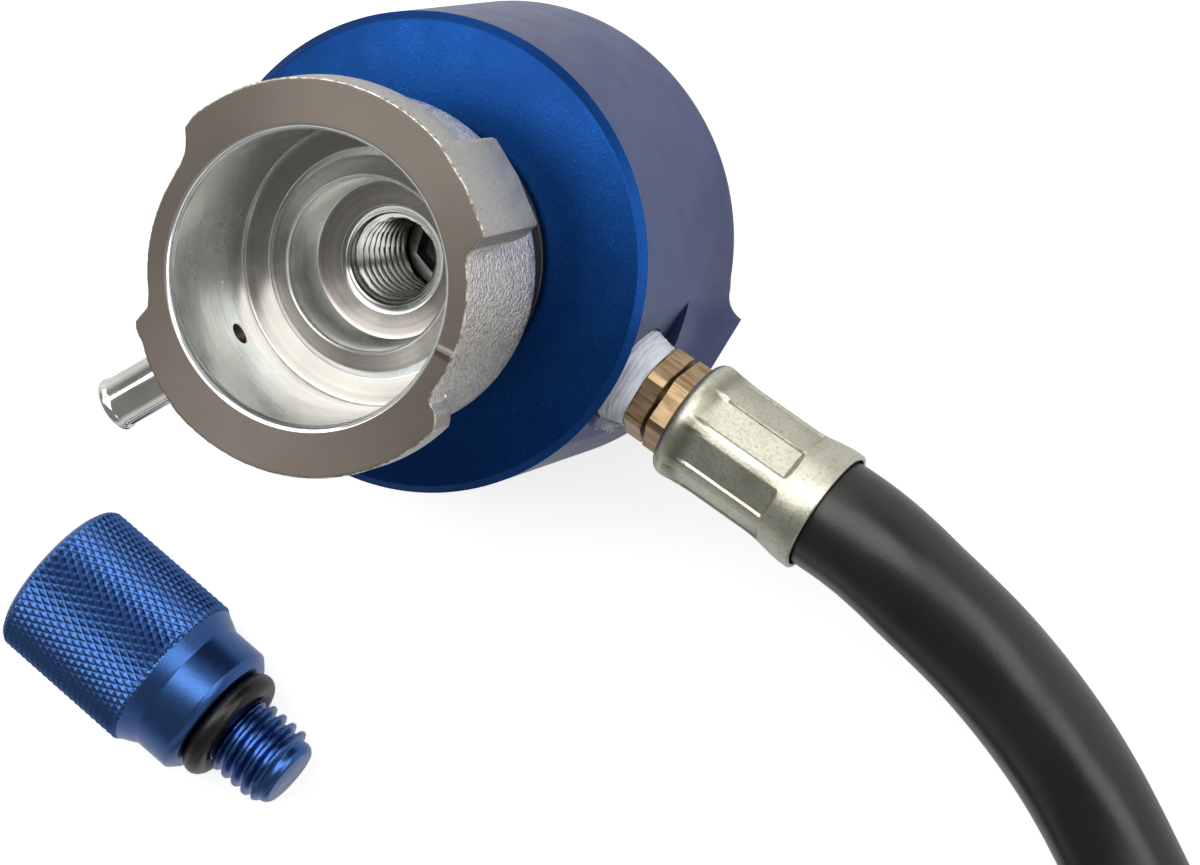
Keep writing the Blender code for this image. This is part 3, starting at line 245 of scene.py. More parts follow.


# The third colour of each is the paler blue of its painted glints
DRUM_BLUE = anodised("drum_blue", (0.006, 0.046, 0.195), (0.012, 0.12, 0.42), 0.40)
# The drum's side: the drum's blue made paler and greyer, with the floor's reflection painted in as a sheen
SIDE_PAINTED_SHEEN = anodised("drum_side_painted_sheen", (0.072, 0.096, 0.215), (0.085, 0.11, 0.25), 0.33)
PLUG_BLUE = anodised("plug_blue", (0.024, 0.100, 0.33), (0.05, 0.19, 0.52), 0.29, 0.60)
BORE = turned_metal("neck_bore", (0.80, 0.82, 0.81), 0.22, depth=0.0000025)
SEAT = turned_metal("neck_seat", (0.46, 0.43, 0.39), 0.22, depth=0.0000025)
THREAD = turned_metal("neck_thread", (0.40, 0.40, 0.37), 0.18, depth=0.000004)
LIP = turned_metal("neck_lip", (0.86, 0.86, 0.84), 0.15, anisotropic=0.0)

FACE = Look("neck_face", (0.245, 0.213, 0.180), 1.0, 0.52, Anisotropic=0.5, Anisotropic_Rotation=0.25)
FACE.grooved("Z")
FACE.tint((70.0, 4.0), (0.215, 0.185, 0.153), 0.4, 0.7)
FACE.bump((2200.0, 2.0, (1.0, 4.0, 1.0)), 0.000002)
FACE.roughen((300.0, 4.0), 0.50, 0.56)

CAST = Look("neck_cast", (0.83, 0.80, 0.75), 1.0, 0.33)
CAST.tint((2600.0, 2.0), (0.60, 0.58, 0.55), 0.42, 0.62)
CAST.bump((2300.0, 2.0), 0.00030)
CAST.roughen((900.0, 3.0), 0.28, 0.40)

CAM = Look("neck_cam", (0.46, 0.45, 0.425), 1.0, 0.42)
CAM.tint((2600.0, 3.0), (0.38, 0.37, 0.345), 0.45, 0.65)
CAM.bump((2600.0, 3.0), 0.000022)
CAM.roughen((500.0, 3.0), 0.38, 0.48)

BURR = Look("neck_burr", (0.74, 0.71, 0.65), 1.0, 0.34)
BURR.tint((1500.0, 3.0), (0.28, 0.25, 0.21), 0.42, 0.58)
BURR.bump((2200.0, 3.0), 0.00004)

CHROME = Look("bright_pipe", (0.80, 0.785, 0.75), 1.0, 0.14)
CHROME.tint((120.0, 4.0), (0.52, 0.50, 0.46), 0.5, 0.75)
CHROME.bump((700.0, 3.0, (0.1, 1.0, 1.0)), 0.000004)
CHROME.roughen((260.0, 4.0), 0.08, 0.2)

BRASS = Look("brass", (0.45, 0.315, 0.185), 1.0, 0.36)
BRASS.tint((2400.0, 3.0, (0.10, 1.0, 1.0)), (0.26, 0.175, 0.095), 0.46, 0.62)
BRASS.tint((260.0, 3.0), (0.32, 0.22, 0.13), 0.5, 0.8)
BRASS.bump((2400.0, 3.0, (0.10, 1.0, 1.0)), 0.000016)
BRASS.roughen((420.0, 4.0), 0.30, 0.42)

ZINC = Look("ferrule_zinc", (0.56, 0.555, 0.455), 1.0, 0.38)
ZINC.tint((140.0, 4.0), (0.40, 0.39, 0.29), 0.45, 0.75)
ZINC.tint((2600.0, 3.0), (0.36, 0.36, 0.29), 0.5, 0.75)
ZINC.bump((2600.0, 3.0), 0.000020)
ZINC.bump((420.0, 3.0), 0.000050)
ZINC.roughen((350.0, 4.0), 0.33, 0.43)
# Painted shade: a darker band round the sleeve where the nose narrows into the pressed panels
ZINC.tint(ZINC.band("X", 0.0352, 0.0366, 0.0005), (0.27, 0.265, 0.20), 0.0, 1.15)

OILED = Look("oiled_steel", (0.40, 0.395, 0.38), 1.0, 0.34)
OILED.tint((420.0, 4.0), (0.22, 0.215, 0.20), 0.42, 0.7)
OILED.bump((1700.0, 3.0), 0.000010)
OILED.roughen((500.0, 4.0), 0.28, 0.44)

# Painted shade: near-black for the walls of deep holes and sockets, where they lie in shade
SHADE_BLACK = Look("painted_shade_black", (0.012, 0.012, 0.012), 0.6, 0.5)
SHADE_BLACK.tint((900.0, 3.0), (0.020, 0.019, 0.018), 0.45, 0.7)
SHADE_BLACK.bump((1700.0, 3.0), 0.000010)

STEEL = Look("plated_steel", (0.55, 0.55, 0.56), 1.0, 0.30)
STEEL.tint((260.0, 4.0), (0.40, 0.40, 0.41), 0.5, 0.75)
STEEL.bump((1500.0, 3.0), 0.000008)
STEEL.roughen((400.0, 4.0), 0.24, 0.38)

CARRIER = turned_metal("carrier_turned", (0.58, 0.57, 0.55), 0.32)

TAPE = Look("sealing_tape", tone(207, 211, 217), 0.0, 0.40, Subsurface_Weight=0.15,
            Subsurface_Radius=(0.001, 0.001, 0.001))
TAPE.tint((700.0, 4.0, (1.0, 0.4, 0.4)), tone(170, 178, 188), 0.45, 0.75)
TAPE.bump((1300.0, 3.0, (1.0, 0.25, 0.25)), 0.00010)

HOSE = Look("hose_rubber", (0.0055, 0.0050, 0.0045), 0.0, 0.32, Specular_IOR_Level=0.55)
HOSE.bump((3000.0, 3.0), 0.000012)
HOSE.tint((90.0, 3.0), (0.0085, 0.0078, 0.0070), 0.4, 0.7)
HOSE.roughen((160.0, 4.0), 0.29, 0.36)

RUBBER = Look("seal_rubber", (0.0045, 0.0045, 0.0045), 0.0, 0.30, Specular_IOR_Level=0.4)
RUBBER.bump((2400.0, 3.0), 0.000010)
RUBBER.tint((300.0, 3.0), (0.0085, 0.0080, 0.0075), 0.4, 0.7)
RUBBER.roughen((500.0, 3.0), 0.27, 0.38)


# Shapes

def shaded(mesh):
    """The mesh, smooth but for its sharp edges."""
    mesh.shade_smooth()
    mesh.set_sharp_from_angle(angle=SHARP_ANGLE)
    return mesh


def fitted(shape, name):
    """A mesh from a bmesh: doubles merged, faces out, smooth where it is round."""
    bmesh.ops.remove_doubles(shape, verts=shape.verts, dist=0.0000002)
    bmesh.ops.dissolve_degenerate(shape, edges=shape.edges, dist=0.0000002)
    bmesh.ops.recalc_face_normals(shape, faces=shape.faces)
    mesh = bpy.data.meshes.new(name)
    shape.to_mesh(mesh)
    shape.free()
    return shaded(mesh)


def lathe(name, rings, angles, axis="Z", creased=False):
    """A closed mesh of rings round an axis, in millimetres.

    A ring is (radius, place) or (radius, place, paint). Radius and place are numbers or arrays
    over the angles. Paint is the material index of the band from this ring to the next one.
    A creased mesh, round X only, has its faces folded along the lower diagonal, so that grooves
    stay sharp.
    """
    shape = bmesh.new()
    turns_cos, turns_sin = np.cos(angles), np.sin(angles)
    rows = []
    for ring in rings:
        radius = np.broadcast_to(ring[0], angles.shape) * MM
        where = np.broadcast_to(ring[1], angles.shape) * MM
        first, second = radius * turns_cos, radius * turns_sin
        parts = (first, second, where) if axis == "Z" else (where, first, second)
        rows.append([shape.verts.new(point) for point in np.stack(parts, axis=1).tolist()])
    count = len(angles)
    for index, ring in enumerate(rings):
        here, there = rows[index], rows[(index + 1) % len(rows)]
        paint = ring[2] if len(ring) > 2 else 0
        for step in range(count):
            beyond = (step + 1) % count
            loop = (here[step], here[beyond], there[beyond], there[step])
            faces = [loop]
            if creased:
                reach = [(corner.co - corner.co.project(Vector((1.0, 0.0, 0.0)))).length for corner in loop]
                if reach[0] + reach[2] < reach[1] + reach[3]:
                    faces = [(loop[0], loop[1], loop[2]), (loop[0], loop[2], loop[3])]
                else:
                    faces = [(loop[1], loop[2], loop[3]), (loop[1], loop[3], loop[0])]
            for corners in faces:
                shape.faces.new(corners).material_index = paint
    return fitted(shape, name)


def circle(count, turn=0.0):
    """Evenly spaced angles of a full turn, from a first one."""
    return turn + np.linspace(0.0, math.tau, count, endpoint=False)


def eased(outline, steps=3):
    """Rings of a closed outline of (radius, place, easing[, paint]) with its corners rounded."""
    rings = []
    for index, (radius, place, easing, *paint) in enumerate(outline):
        corner = Vector((radius, place))
        if not easing:
            rings.append((radius, place, *paint))
            continue
        before = Vector(outline[index - 1][:2]) - corner
        after = Vector(outline[(index + 1) % len(outline)][:2]) - corner
        reach = min(easing, 0.48 * before.length, 0.48 * after.length)
        start = corner + before.normalized() * reach
        end = corner + after.normalized() * reach
        for step in range(steps + 1):
            share = step / steps
            point = start * (1 - share) ** 2 + corner * 2 * share * (1 - share) + end * share**2
            rings.append((point.x, point.y, *paint))
    return rings


def unrolled(bands):
    """Rings with their paint, from bands of (paint, list of (radius, place))."""
    return [(radius, place, paint) for paint, band in bands for radius, place in band]


def hexagon(angles, across_flats, turn=0.0):
    """Radius of a hexagon at each angle. A corner lies at the turn."""
    within = (angles - turn) % math.radians(60.0) - math.radians(30.0)
    return across_flats / 2.0 / np.cos(within)


def blend_up(value, low, high):
    """0 below low, 1 above high, smooth between."""
    share = np.clip((value - low) / (high - low), 0.0, 1.0)
    return share * share * (3.0 - 2.0 * share)


def apart(angles, centre):
    """Signed angle from a centre, from -pi to pi."""
    return (angles - centre + math.pi) % math.tau - math.pi


def thread_rings(angles, root, crest, start, end, pitch, steps, paint=0):
    """Rings of a screw thread along an axis, which fades out over two thirds of a turn at both ends."""
    rings = []
    count = round((end - start) / pitch * steps)
    for step in range(count + 1):
        place = start + (end - start) * step / count
        phase = (place / pitch - angles / math.tau) % 1.0
        flank = 1.25 - 2.5 * np.abs(phase - 0.5) * 1.25
        ridge = blend_up(np.clip(flank, 0.0, 1.0), 0.0, 1.0)
        fade = min(1.0, (place - start) / pitch * 1.5, (end - place) / pitch * 1.5)
        rings.append((root + (crest - root) * ridge * fade, place, paint))
    return rings


def sector(name, inner, outer, low, high, middle, half_angle, steps=48):
    """A curved block between two radii and two heights, in millimetres."""
    shape = bmesh.new()
    rows = []
    for azimuth in np.linspace(middle - half_angle, middle + half_angle, steps + 1):
        toward = Vector((math.cos(azimuth), math.sin(azimuth), 0.0))
        outline = ((inner, low), (outer, low), (outer, high), (inner, high))
        rows.append([shape.verts.new((toward * reach + Vector((0, 0, height))) * MM)
                     for reach, height in outline])
    for here, there in zip(rows, rows[1:]):
        for step in range(4):
            beyond = (step + 1) % 4
            shape.faces.new((here[step], here[beyond], there[beyond], there[step]))
    shape.faces.new(rows[0])
    shape.faces.new(rows[-1])
    return fitted(shape, name)


def placed(name, data):
    """A new object in the scene."""
    item = bpy.data.objects.new(name, data)
    bpy.context.scene.collection.objects.link(item)
    return item


def settled(stock):
    """The stock's mesh with its modifiers applied. The stock goes."""
    bpy.context.view_layer.update()
    result = bpy.data.meshes.new_from_object(stock.evaluated_get(bpy.context.evaluated_depsgraph_get()))
    bpy.data.objects.remove(stock)
    return result


def painted(data, looks):
    """The mesh or curve with these looks as its materials."""
    for look in looks:
        data.materials.append(look.material)
    return data


def carved(mesh, cutters):
    """The mesh with each cutter taken away."""
    stock = placed("stock", mesh)
    tools = []
    for cutter, matrix in cutters:
        tool = placed("cutter", cutter)
        tool.matrix_world = matrix
        step = stock.modifiers.new("cut", "BOOLEAN")
        step.operation = "DIFFERENCE"
        step.solver = "EXACT"
        step.object = tool
        tools.append(tool)
    result = settled(stock)
    for tool in tools:
        bpy.data.objects.remove(tool)
    return shaded(result)


def bevelled(mesh, width):
    """The mesh with its sharp edges rounded, in millimetres."""
    stock = placed("stock", mesh)
    step = stock.modifiers.new("bevel", "BEVEL")
    step.width = width * MM
    step.segments = 2
    step.limit_method = "ANGLE"
    step.angle_limit = math.radians(40.0)
    return settled(stock)


def piece(name, data, matrix, looks, body, nodes):
    """A finished piece in its place, which rides on a body and stands for these nodes.

    Data that was painted before it was carved keeps its own materials.
    """
    item = placed(name, data if data.materials else painted(data, looks))
    item.matrix_world = matrix
    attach(item, body)
    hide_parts(*nodes)
    return item


def turned_piece(name, rings, angles, axis, matrix, looks, body, node):
    """A piece that is one lathed mesh and stands for one node."""
    return piece(name, lathe(name, rings, angles, axis), matrix, looks, body, [node])


# Camera and light

def make_camera():
    """The photograph's view: a long lens, 68 degrees above the ground."""
    lens = bpy.data.cameras.new("camera")
    lens.lens = 150.0
    lens.sensor_width = 36.0
    lens.sensor_fit = "HORIZONTAL"
    lens.clip_start = 0.01
    lens.clip_end = 20.0
    camera = placed("camera", lens)
    right = Vector((0.93738, 0.0, -0.34831))
    up = Vector((-0.04391, 0.99202, -0.11817))
    back = Vector((0.34553, 0.12606, 0.92990))
    matrix = Matrix((right, up, back)).transposed().to_4x4()
    matrix.translation = (0.21180, 0.06895, 0.52865)
    camera.matrix_world = matrix
    bpy.context.scene.camera = camera


def area_light(name, place, aim, size_x, size_y, brightness):
    """A soft box of this radiance at a place, facing a point."""
    data = bpy.data.lights.new(name, "AREA")
    data.shape = "RECTANGLE"
    data.size = size_x
    data.size_y = size_y
    data.energy = brightness * math.pi * size_x * size_y
    item = placed(name, data)
    item.location = place
    item.rotation_euler = (Vector(aim) - Vector(place)).to_track_quat("-Z", "Y").to_euler()
    item.visible_camera = False


def make_studio():
    """A pale floor, a pale surround that darkens overhead, and soft boxes above."""
    world = bpy.data.worlds.new("studio")
    bpy.context.scene.world = world
    world.use_nodes = True
    tree = world.node_tree
    where = tree.nodes.new("ShaderNodeTexCoord").outputs["Generated"]
    parts = feed(tree.nodes.new("ShaderNodeSeparateXYZ"), Vector=where)
    height = feed(tree.nodes.new("ShaderNodeMapRange"), Value=parts.outputs["Z"],
                  From_Min=0.02, From_Max=0.45, To_Min=0.70, To_Max=0.22)
    height.interpolation_type = "SMOOTHSTEP"
    feed(tree.nodes["Background"], Color=(1.0, 1.0, 1.0, 1.0), Strength=height.outputs["Result"])
    area_light("main_box", (0.12, 0.61, 1.0), (0.12, 0.61, 0.0), 1.85, 0.92, 3.1)
    area_light("side_box", (1.30, 0.05, 0.60), (0.05, 0.0, 0.05), 1.30, 0.62, 2.6)
    area_light("back_box", (-0.25, 1.45, 0.62), (-0.05, 0.0, 0.05), 1.70, 0.70, 1.7)

    ground = bmesh.new()
    bmesh.ops.create_circle(ground, cap_ends=True, segments=96, radius=3.0)
    mesh = bpy.data.meshes.new("floor")
    ground.to_mesh(mesh)
    ground.free()
    floor = placed("floor", mesh)
    look = Look("floor", (0.50, 0.50, 0.50), 0.0, 0.9, Specular_IOR_Level=0.0)
    rays = look.node("ShaderNodeLightPath")
    seen_glow, mirrored_glow = 0.74, 0.30
    total = look.spread(rays.outputs["Is Camera Ray"], 0.0, 1.0, 0.0, seen_glow)
    for other in ("Is Glossy Ray", "Is Transmission Ray"):
        step = look.node("ShaderNodeMath", Value=total)
        step.operation = "MAXIMUM"
        look.tree.links.new(look.spread(rays.outputs[other], 0.0, 1.0, 0.0, mirrored_glow), step.inputs[1])
        total = step.outputs["Value"]
    feed(look.shader, Emission_Color=(1.0, 1.0, 1.0, 1.0), Emission_Strength=total)
    painted(mesh, [look])


# Hose

def smooth(points, first_tangent, last_tangent, steps=12):
    """Points along a smooth curve through the given ones, with set directions at both ends."""
    tangents = [first_tangent]
    for before, after in zip(points, points[2:]):
        tangents.append((after - before) / 2.0)
    tangents.append(last_tangent)
    curve = [points[0]]
    for index in range(len(points) - 1):
        start, end = points[index], points[index + 1]
        for step in range(1, steps + 1):
            t = step / steps
            curve.append(
                start * (2 * t**3 - 3 * t**2 + 1) + tangents[index] * (t**3 - 2 * t**2 + t)
                + end * (3 * t**2 - 2 * t**3) + tangents[index + 1] * (t**3 - t**2)
            )
    return curve


def read_along(curve, count):
    """Evenly spaced points of a fine polyline, both ends kept."""
    reach = [0.0]
    for before, after in zip(curve, curve[1:]):
        reach.append(reach[-1] + (after - before).length)
    points = []
    index = 0
    for step in range(count + 1):
        goal = reach[-1] * step / count
        while index < len(reach) - 2 and reach[index + 1] < goal:
            index += 1
        share = (goal - reach[index]) / (reach[index + 1] - reach[index])
        points.append(curve[index].lerp(curve[index + 1], min(1.0, share)))
    return points


def around(radius, azimuth, height=0.0):
    """A place on a circle about the axis."""
    return Vector((radius * math.cos(azimuth), radius * math.sin(azimuth), height))


def coil_points():
    """The put-away length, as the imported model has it, with its headings at both ends."""
    centre = Vector(COIL_CENTRE)
    points = []
    steps = 24
    for step in range(steps + 1):
        turned = COIL_TURNS * math.tau * step / steps
        radius = COIL_RADIUS - COIL_PITCH * turned / math.tau
        points.append(centre + around(radius, COIL_START_AZIMUTH - turned))
    azimuth = COIL_START_AZIMUTH - COIL_TURNS * math.tau
    pivot = points[-1] - around(TAIL_RADIUS, azimuth)
    bend_steps = 13
    for step in range(1, bend_steps + 1):
        turned = TAIL_ANGLE * step / bend_steps
        rise = max(0.0, 1.0 - (TAIL_ANGLE - turned) / TAIL_RISE_ANGLE)
        lift = (FAR_END_HEIGHT - COIL_CENTRE[2]) * rise * rise * (3.0 - 2.0 * rise)
        points.append(pivot + around(TAIL_RADIUS, azimuth - turned, lift))
    heading = azimuth - TAIL_ANGLE - math.radians(90.0)
    points.append(points[-1] + around(2.0 * HOSE_RADIUS, heading))
    start_heading = around(1.0, COIL_START_AZIMUTH - math.radians(90.0))
    start = points[0] - start_heading * 2.0 * HOSE_RADIUS
    return [start] + points, start_heading, heading


def make_hose():
    """The hose as one curve, and the frame of the fitting on its far end."""
    coil, coil_heading, end_heading = coil_points()
    forward = around(1.0, PORT_AZIMUTH)
    exit_place = forward * FERRULE_MOUTH + Vector((0.0, 0.0, PORT_HEIGHT))
    inside = exit_place - forward * 0.0015
    straight = exit_place + forward * 0.0043
    way = [straight] + [Vector(point) for point in HOSE_ROUTE] + [coil[0]]
    first = forward * (way[1] - way[0]).length
    last = coil_heading * (way[-1] - way[-2]).length
    route = [inside] + read_along(smooth(way, first, last), 22) + coil[1:]
    back = around(1.0, end_heading + math.pi)
    route.append(route[-1] + around(0.0018, end_heading))
    head_place = Vector(HEAD_PLACE)
    curve = bpy.data.curves.new("hose", "CURVE")
    curve.dimensions = "3D"
    curve.bevel_depth = HOSE_RADIUS
    curve.bevel_resolution = 10
    curve.resolution_u = 6
    curve.use_fill_caps = True
    line = curve.splines.new("BEZIER")
    line.bezier_points.add(len(route) - 1)
    for knot, point in zip(line.bezier_points, route):
        knot.co = point + head_place
        knot.handle_left_type = "AUTO"
        knot.handle_right_type = "AUTO"
    hose = piece("hose", curve, Matrix.Identity(4), [HOSE], "head",
                 ["hose_run", "hose_coil"])
    far_place = coil[-1] - back * (FERRULE_MOUTH + GAP) + head_place
    far = Matrix.Translation(far_place) @ Matrix.Rotation(end_heading + math.pi, 4, "Z")
    return hose, exit_place + head_place, far


# Drum

def port_flat(around_port):
    """Radius of the drum's side where it is milled flat round the port, at angles from the port."""
    flat_distance = 24.8
    flat = np.full(around_port.shape, DRUM_RADIUS)
    near = np.abs(around_port) < math.radians(60.0)
    flat[near] = np.minimum(DRUM_RADIUS, flat_distance / np.cos(around_port[near]))
    return flat


def lug_reach(around_port):
    """Radius of the rear rim with its two grip lugs: flat ends, hollow flanks, a short tail."""
    lug, fillet_offset, fillet_radius, tail_rise = 27.8, 9.7, 3.0, 0.19
    tail_start, tail_end = math.radians(19.2), math.radians(23.0)
    reach = np.full(around_port.shape, DRUM_RADIUS)
    for centre in (0.0, math.pi):
        off = np.abs(apart(around_port, centre))
        toward = lug * np.cos(off) + fillet_offset * np.sin(off)
        under_root = toward**2 - lug**2 - fillet_offset**2 + fillet_radius**2
        hollow = toward - np.sqrt(np.maximum(0.0, under_root))
        side = np.where(off < LUG_ANGLE, lug / np.cos(np.minimum(off, 1.0)), hollow)
        tail = DRUM_RADIUS + tail_rise - tail_rise * blend_up(off, tail_start, tail_end)
        reach = np.maximum(reach, np.where(off > tail_start, tail, side))
    return reach


def make_drum():
    """The drum: flat and hole of the port, grip lugs, chamfered rim, rear cavity."""
    # Most bands carry the side's paler blue with its painted sheen, and the front chamfer and face carry
    # the drum's blue; the hole below the neck's recess and the passage under it are painted black as shade
    side, front, painted_shade = range(3)
    marks = [sign * angle for sign in (-1.0, 1.0) for angle in (LUG_ANGLE, LUG_FOOT_ANGLE)]
    around_port = np.sort(np.concatenate([circle(720) - math.pi, marks]))
    flat = port_flat(around_port)
    reach = lug_reach(around_port)
    rings = [(reach - 0.30, 0.0), (reach - 0.09, 0.09), (reach, 0.30)]
    lug_fade_start, lug_top = -3.0, 11.0
    whole = 1.0 - blend_up(0.0, lug_fade_start, lug_top)
    for height in np.arange(1.0, lug_top + 1.0):
        share = (1.0 - blend_up(height, lug_fade_start, lug_top)) / whole
        rings.append((DRUM_RADIUS + (reach - DRUM_RADIUS) * share, height))
    rings += [
        (DRUM_RADIUS, 12.5), (DRUM_RADIUS, 13.5), (DRUM_RADIUS, 13.6), (flat, 13.6), (flat, 21.0),
        (flat, 28.62), (DRUM_RADIUS, 28.66, front), (25.98, 28.93, front), (25.55, 29.36, front),
        (25.43, 29.50, front), (25.28, DRUM_FACE, front), (15.0, DRUM_FACE, front),
        (8.4, DRUM_FACE, side), (8.3, DRUM_FACE - 0.1, side), (8.3, 21.15, side), (4.91, 21.15, painted_shade),
        (4.91, 17.6, painted_shade), (2.5, 17.6, painted_shade), (2.5, 17.5, painted_shade), (4.2, 17.5, painted_shade), (4.2, 14.2, side),
        (4.4, 14.0), (21.1, 14.0), (21.45, 13.85), (21.6, 13.5), (21.6, 0.3), (21.68, 0.08), (21.9, 0.0),
    ]
    looks = [SIDE_PAINTED_SHEEN, DRUM_BLUE, SHADE_BLACK]
    mesh = painted(lathe("drum", rings, around_port + PORT_AZIMUTH), looks)
    hole = [(0.0, 16.5), (5.6, 16.5), (5.6, 24.55), (5.85, 24.8), (5.85, 29.0), (0.0, 29.0)]
    cutters = [(lathe("hole", hole, circle(96), "X"), HEAD.inverted() @ PORT)]
    for azimuth in EAR_AZIMUTHS:
        recess = sector("recess", EAR_INNER, 25.3, -3.0, 2.2, azimuth, math.radians(24.7))
        cutters.append((recess, Matrix.Identity(4)))
    piece("drum", carved(mesh, cutters), HEAD, looks, "head", ["drum_body"])


# Neck

# The flange's outline as (degrees, radius), and the corners that straight lines join
FLANGE_CORNERS = (
    (-173.5, 18.00), (-168.5, 18.35), (-165.3, 20.05), (-163.0, 20.25), (-158.0, 20.00), (-155.5, 20.20),
    (-150.0, 20.35), (-139.9, 20.55), (-136.5, 20.75), (-46.5, 20.75), (-42.6, 19.60), (-42.4, 18.45),
    (-39.5, 18.00), (6.5, 18.00), (9.6, 18.20), (12.6, 19.50), (13.6, 20.40), (14.4, 20.60), (29.2, 20.45),
    (43.5, 20.74), (127.5, 20.75), (131.6, 20.35), (133.6, 19.35), (136.8, 18.55),
    (141.0, 18.15), (146.5, 18.00),
)
TAB_CORNERS = ((14.4, 20.60), (29.2, 20.45), (43.5, 20.74))


def flange_shape(angles):
    """Outer radius of the neck's flange, and the depth of its cams and tabs, at each angle."""
    degrees = np.degrees(apart(angles, 0.0))
    corners = np.array(FLANGE_CORNERS)
    outer = np.interp(degrees, corners[:, 0], corners[:, 1], period=360.0)
    for (first, near), (last, far) in (TAB_CORNERS[:2], TAB_CORNERS[1:]):
        turns = [np.radians(part) for part in (last - first, degrees - first, last - degrees)]
        chord = near * far * np.sin(turns[0]) / (near * np.sin(turns[1]) + far * np.sin(turns[2]))
        outer = np.where((degrees > first) & (degrees < last), chord, outer)
    weights = np.array([1.0, 2.0, 3.0, 2.0, 1.0]) / 9.0
    outer = sum(weight * np.roll(outer, shift) for shift, weight in zip(range(-2, 3), weights))
    cam_depth, cam_rise, tab_depth = 4.5, 1.25, 15.0
    depth = np.zeros(angles.shape)
    for shift in (0.0, 180.0):
        local = (degrees + shift + 90.0) % 360.0 - 90.0
        cam = cam_depth + cam_rise * np.clip((137.0 - local) / 92.0, 0.0, 1.0)
        tab = blend_up(local, 9.0, 11.4) * (1.0 - blend_up(local, 42.4, 43.6))
        chosen = (local > -19.0) & (local <= 161.0)
        depth = np.where(chosen, cam + (tab_depth - cam) * tab, depth)
    return outer, depth


def make_neck():
    """The filler neck: machined face, bore and seat, cast flange with cams and stop tabs.

    Its rings are (radius, depth below the face), from the bore's lip down the outside and up
    the inside.
    """
    machined, lip, burr, cast, bore, seat, smooth_cast, thread = range(8)
    marks = [math.radians(part) for part in (-46.5, -42.5, 13.6, 29.2, 43.0, 131.6, -165.3)]
    angles = np.sort(np.concatenate([circle(600) - math.pi, marks]))
    outer, under = flange_shape(angles)
    rough = 0.05 * np.sin(angles * 61.0) * np.sin(angles * 23.0 + 1.0) + 0.03 * np.sin(angles * 143.0)
    ridge_height, ridge_width, ridge_azimuth = 0.42, 0.95, math.radians(-24.8)
    off_ridge = np.degrees(apart(angles, ridge_azimuth))
    ridge = ridge_height * np.exp(-((off_ridge / ridge_width) ** 2))
    body = 18.0
    outside = [
        (lip, [(15.30, 1.20), (15.33, 1.00), (15.42, 0.62), (15.48, 0.46), (15.62, 0.22), (15.78, 0.06)]),
        (machined, [(15.95, -ridge * 0.5), (16.1, -ridge), (17.25, -ridge),
                    (np.maximum(outer - 0.42, 17.3), -ridge)]),
        (burr, [(outer - 0.17, -ridge * 0.9), (outer - 0.09 + rough * 0.5, 0.02)]),
        (smooth_cast, [(outer + rough * 0.3, 0.24), (outer, 0.60), (outer, 2.5), (outer, under - 0.45),
                       (np.maximum(outer - 0.10, body), under - 0.15)]),
        (cast, [(np.maximum(outer - 0.40, body), under), (np.minimum(outer, 18.35), under + 0.02),
                (np.minimum(outer, 18.10), under + 0.10), (body, under + 0.40), (body, 17.0),
                (body, 18.9), (17.85, 19.45), (17.45, 19.90), (16.8, 20.1), (14.6, 20.1),
                (14.15, 20.25), (14.0, 20.7), (14.0, 28.6), (13.75, 28.86), (8.0, 28.86),
                (8.0, 38.3), (7.8, 38.46)]),
        (thread, [(5.2, 38.46)]),
    ]
    inside = [
        (lip, [(5.02, 23.62)]), (thread, [(5.06, 23.50), (5.30, 23.38)]), (lip, [(5.34, 23.30)]),
        (thread, [(5.40, 23.24), (5.72, 23.16)]), (lip, [(5.86, 23.12)]),
        (seat, [(5.95, 23.11), (8.0, 23.1)]),
        (bore, [(8.55, 22.95), (8.80, 22.6), (8.85, 21.8), (9.05, 21.5), (9.22, 16.9)]),
        (lip, [(9.27, 16.58), (9.36, 16.46), (9.50, 16.46)]), (seat, [(9.62, 16.56), (11.50, 17.75)]),
        (bore, [(11.58, 17.82), (12.28, 18.46)]), (lip, [(12.34, 18.52)]),
        (seat, [(12.46, 18.58), (14.90, 18.60)]), (lip, [(15.10, 18.56), (15.24, 18.42)]),
        (bore, [(15.3, 18.2), (15.3, 9.0)]),
    ]
    ridges = thread_rings(angles, 4.95, 4.30, 23.75, 38.4, THREAD_PITCH, 15, thread)
    rings = unrolled(outside) + ridges[::-1] + unrolled(inside)
    rings = [(radius, NECK_FACE - depth, paint) for radius, depth, paint in rings]
    looks = [FACE, LIP, BURR, CAST, BORE, SEAT, CAM, THREAD]
    mesh = painted(lathe("neck", rings, angles), looks)
    vent = [(0.0, 13.0), (1.2, 13.0), (1.2, 17.0), (3.15, 17.0), (3.15, 24.0), (0.0, 24.0)]
    mesh = carved(mesh, [(lathe("vent", vent, circle(64), "X"), HEAD.inverted() @ PIPE)])
    # The notches show the cast skin of the body
    notch_reach = 18.7 * MM
    for side in mesh.polygons:
        if side.material_index == smooth_cast and side.center.xy.length < notch_reach:
            side.material_index = cast
    piece("neck", mesh, HEAD, looks, "head", ["filler_neck"])


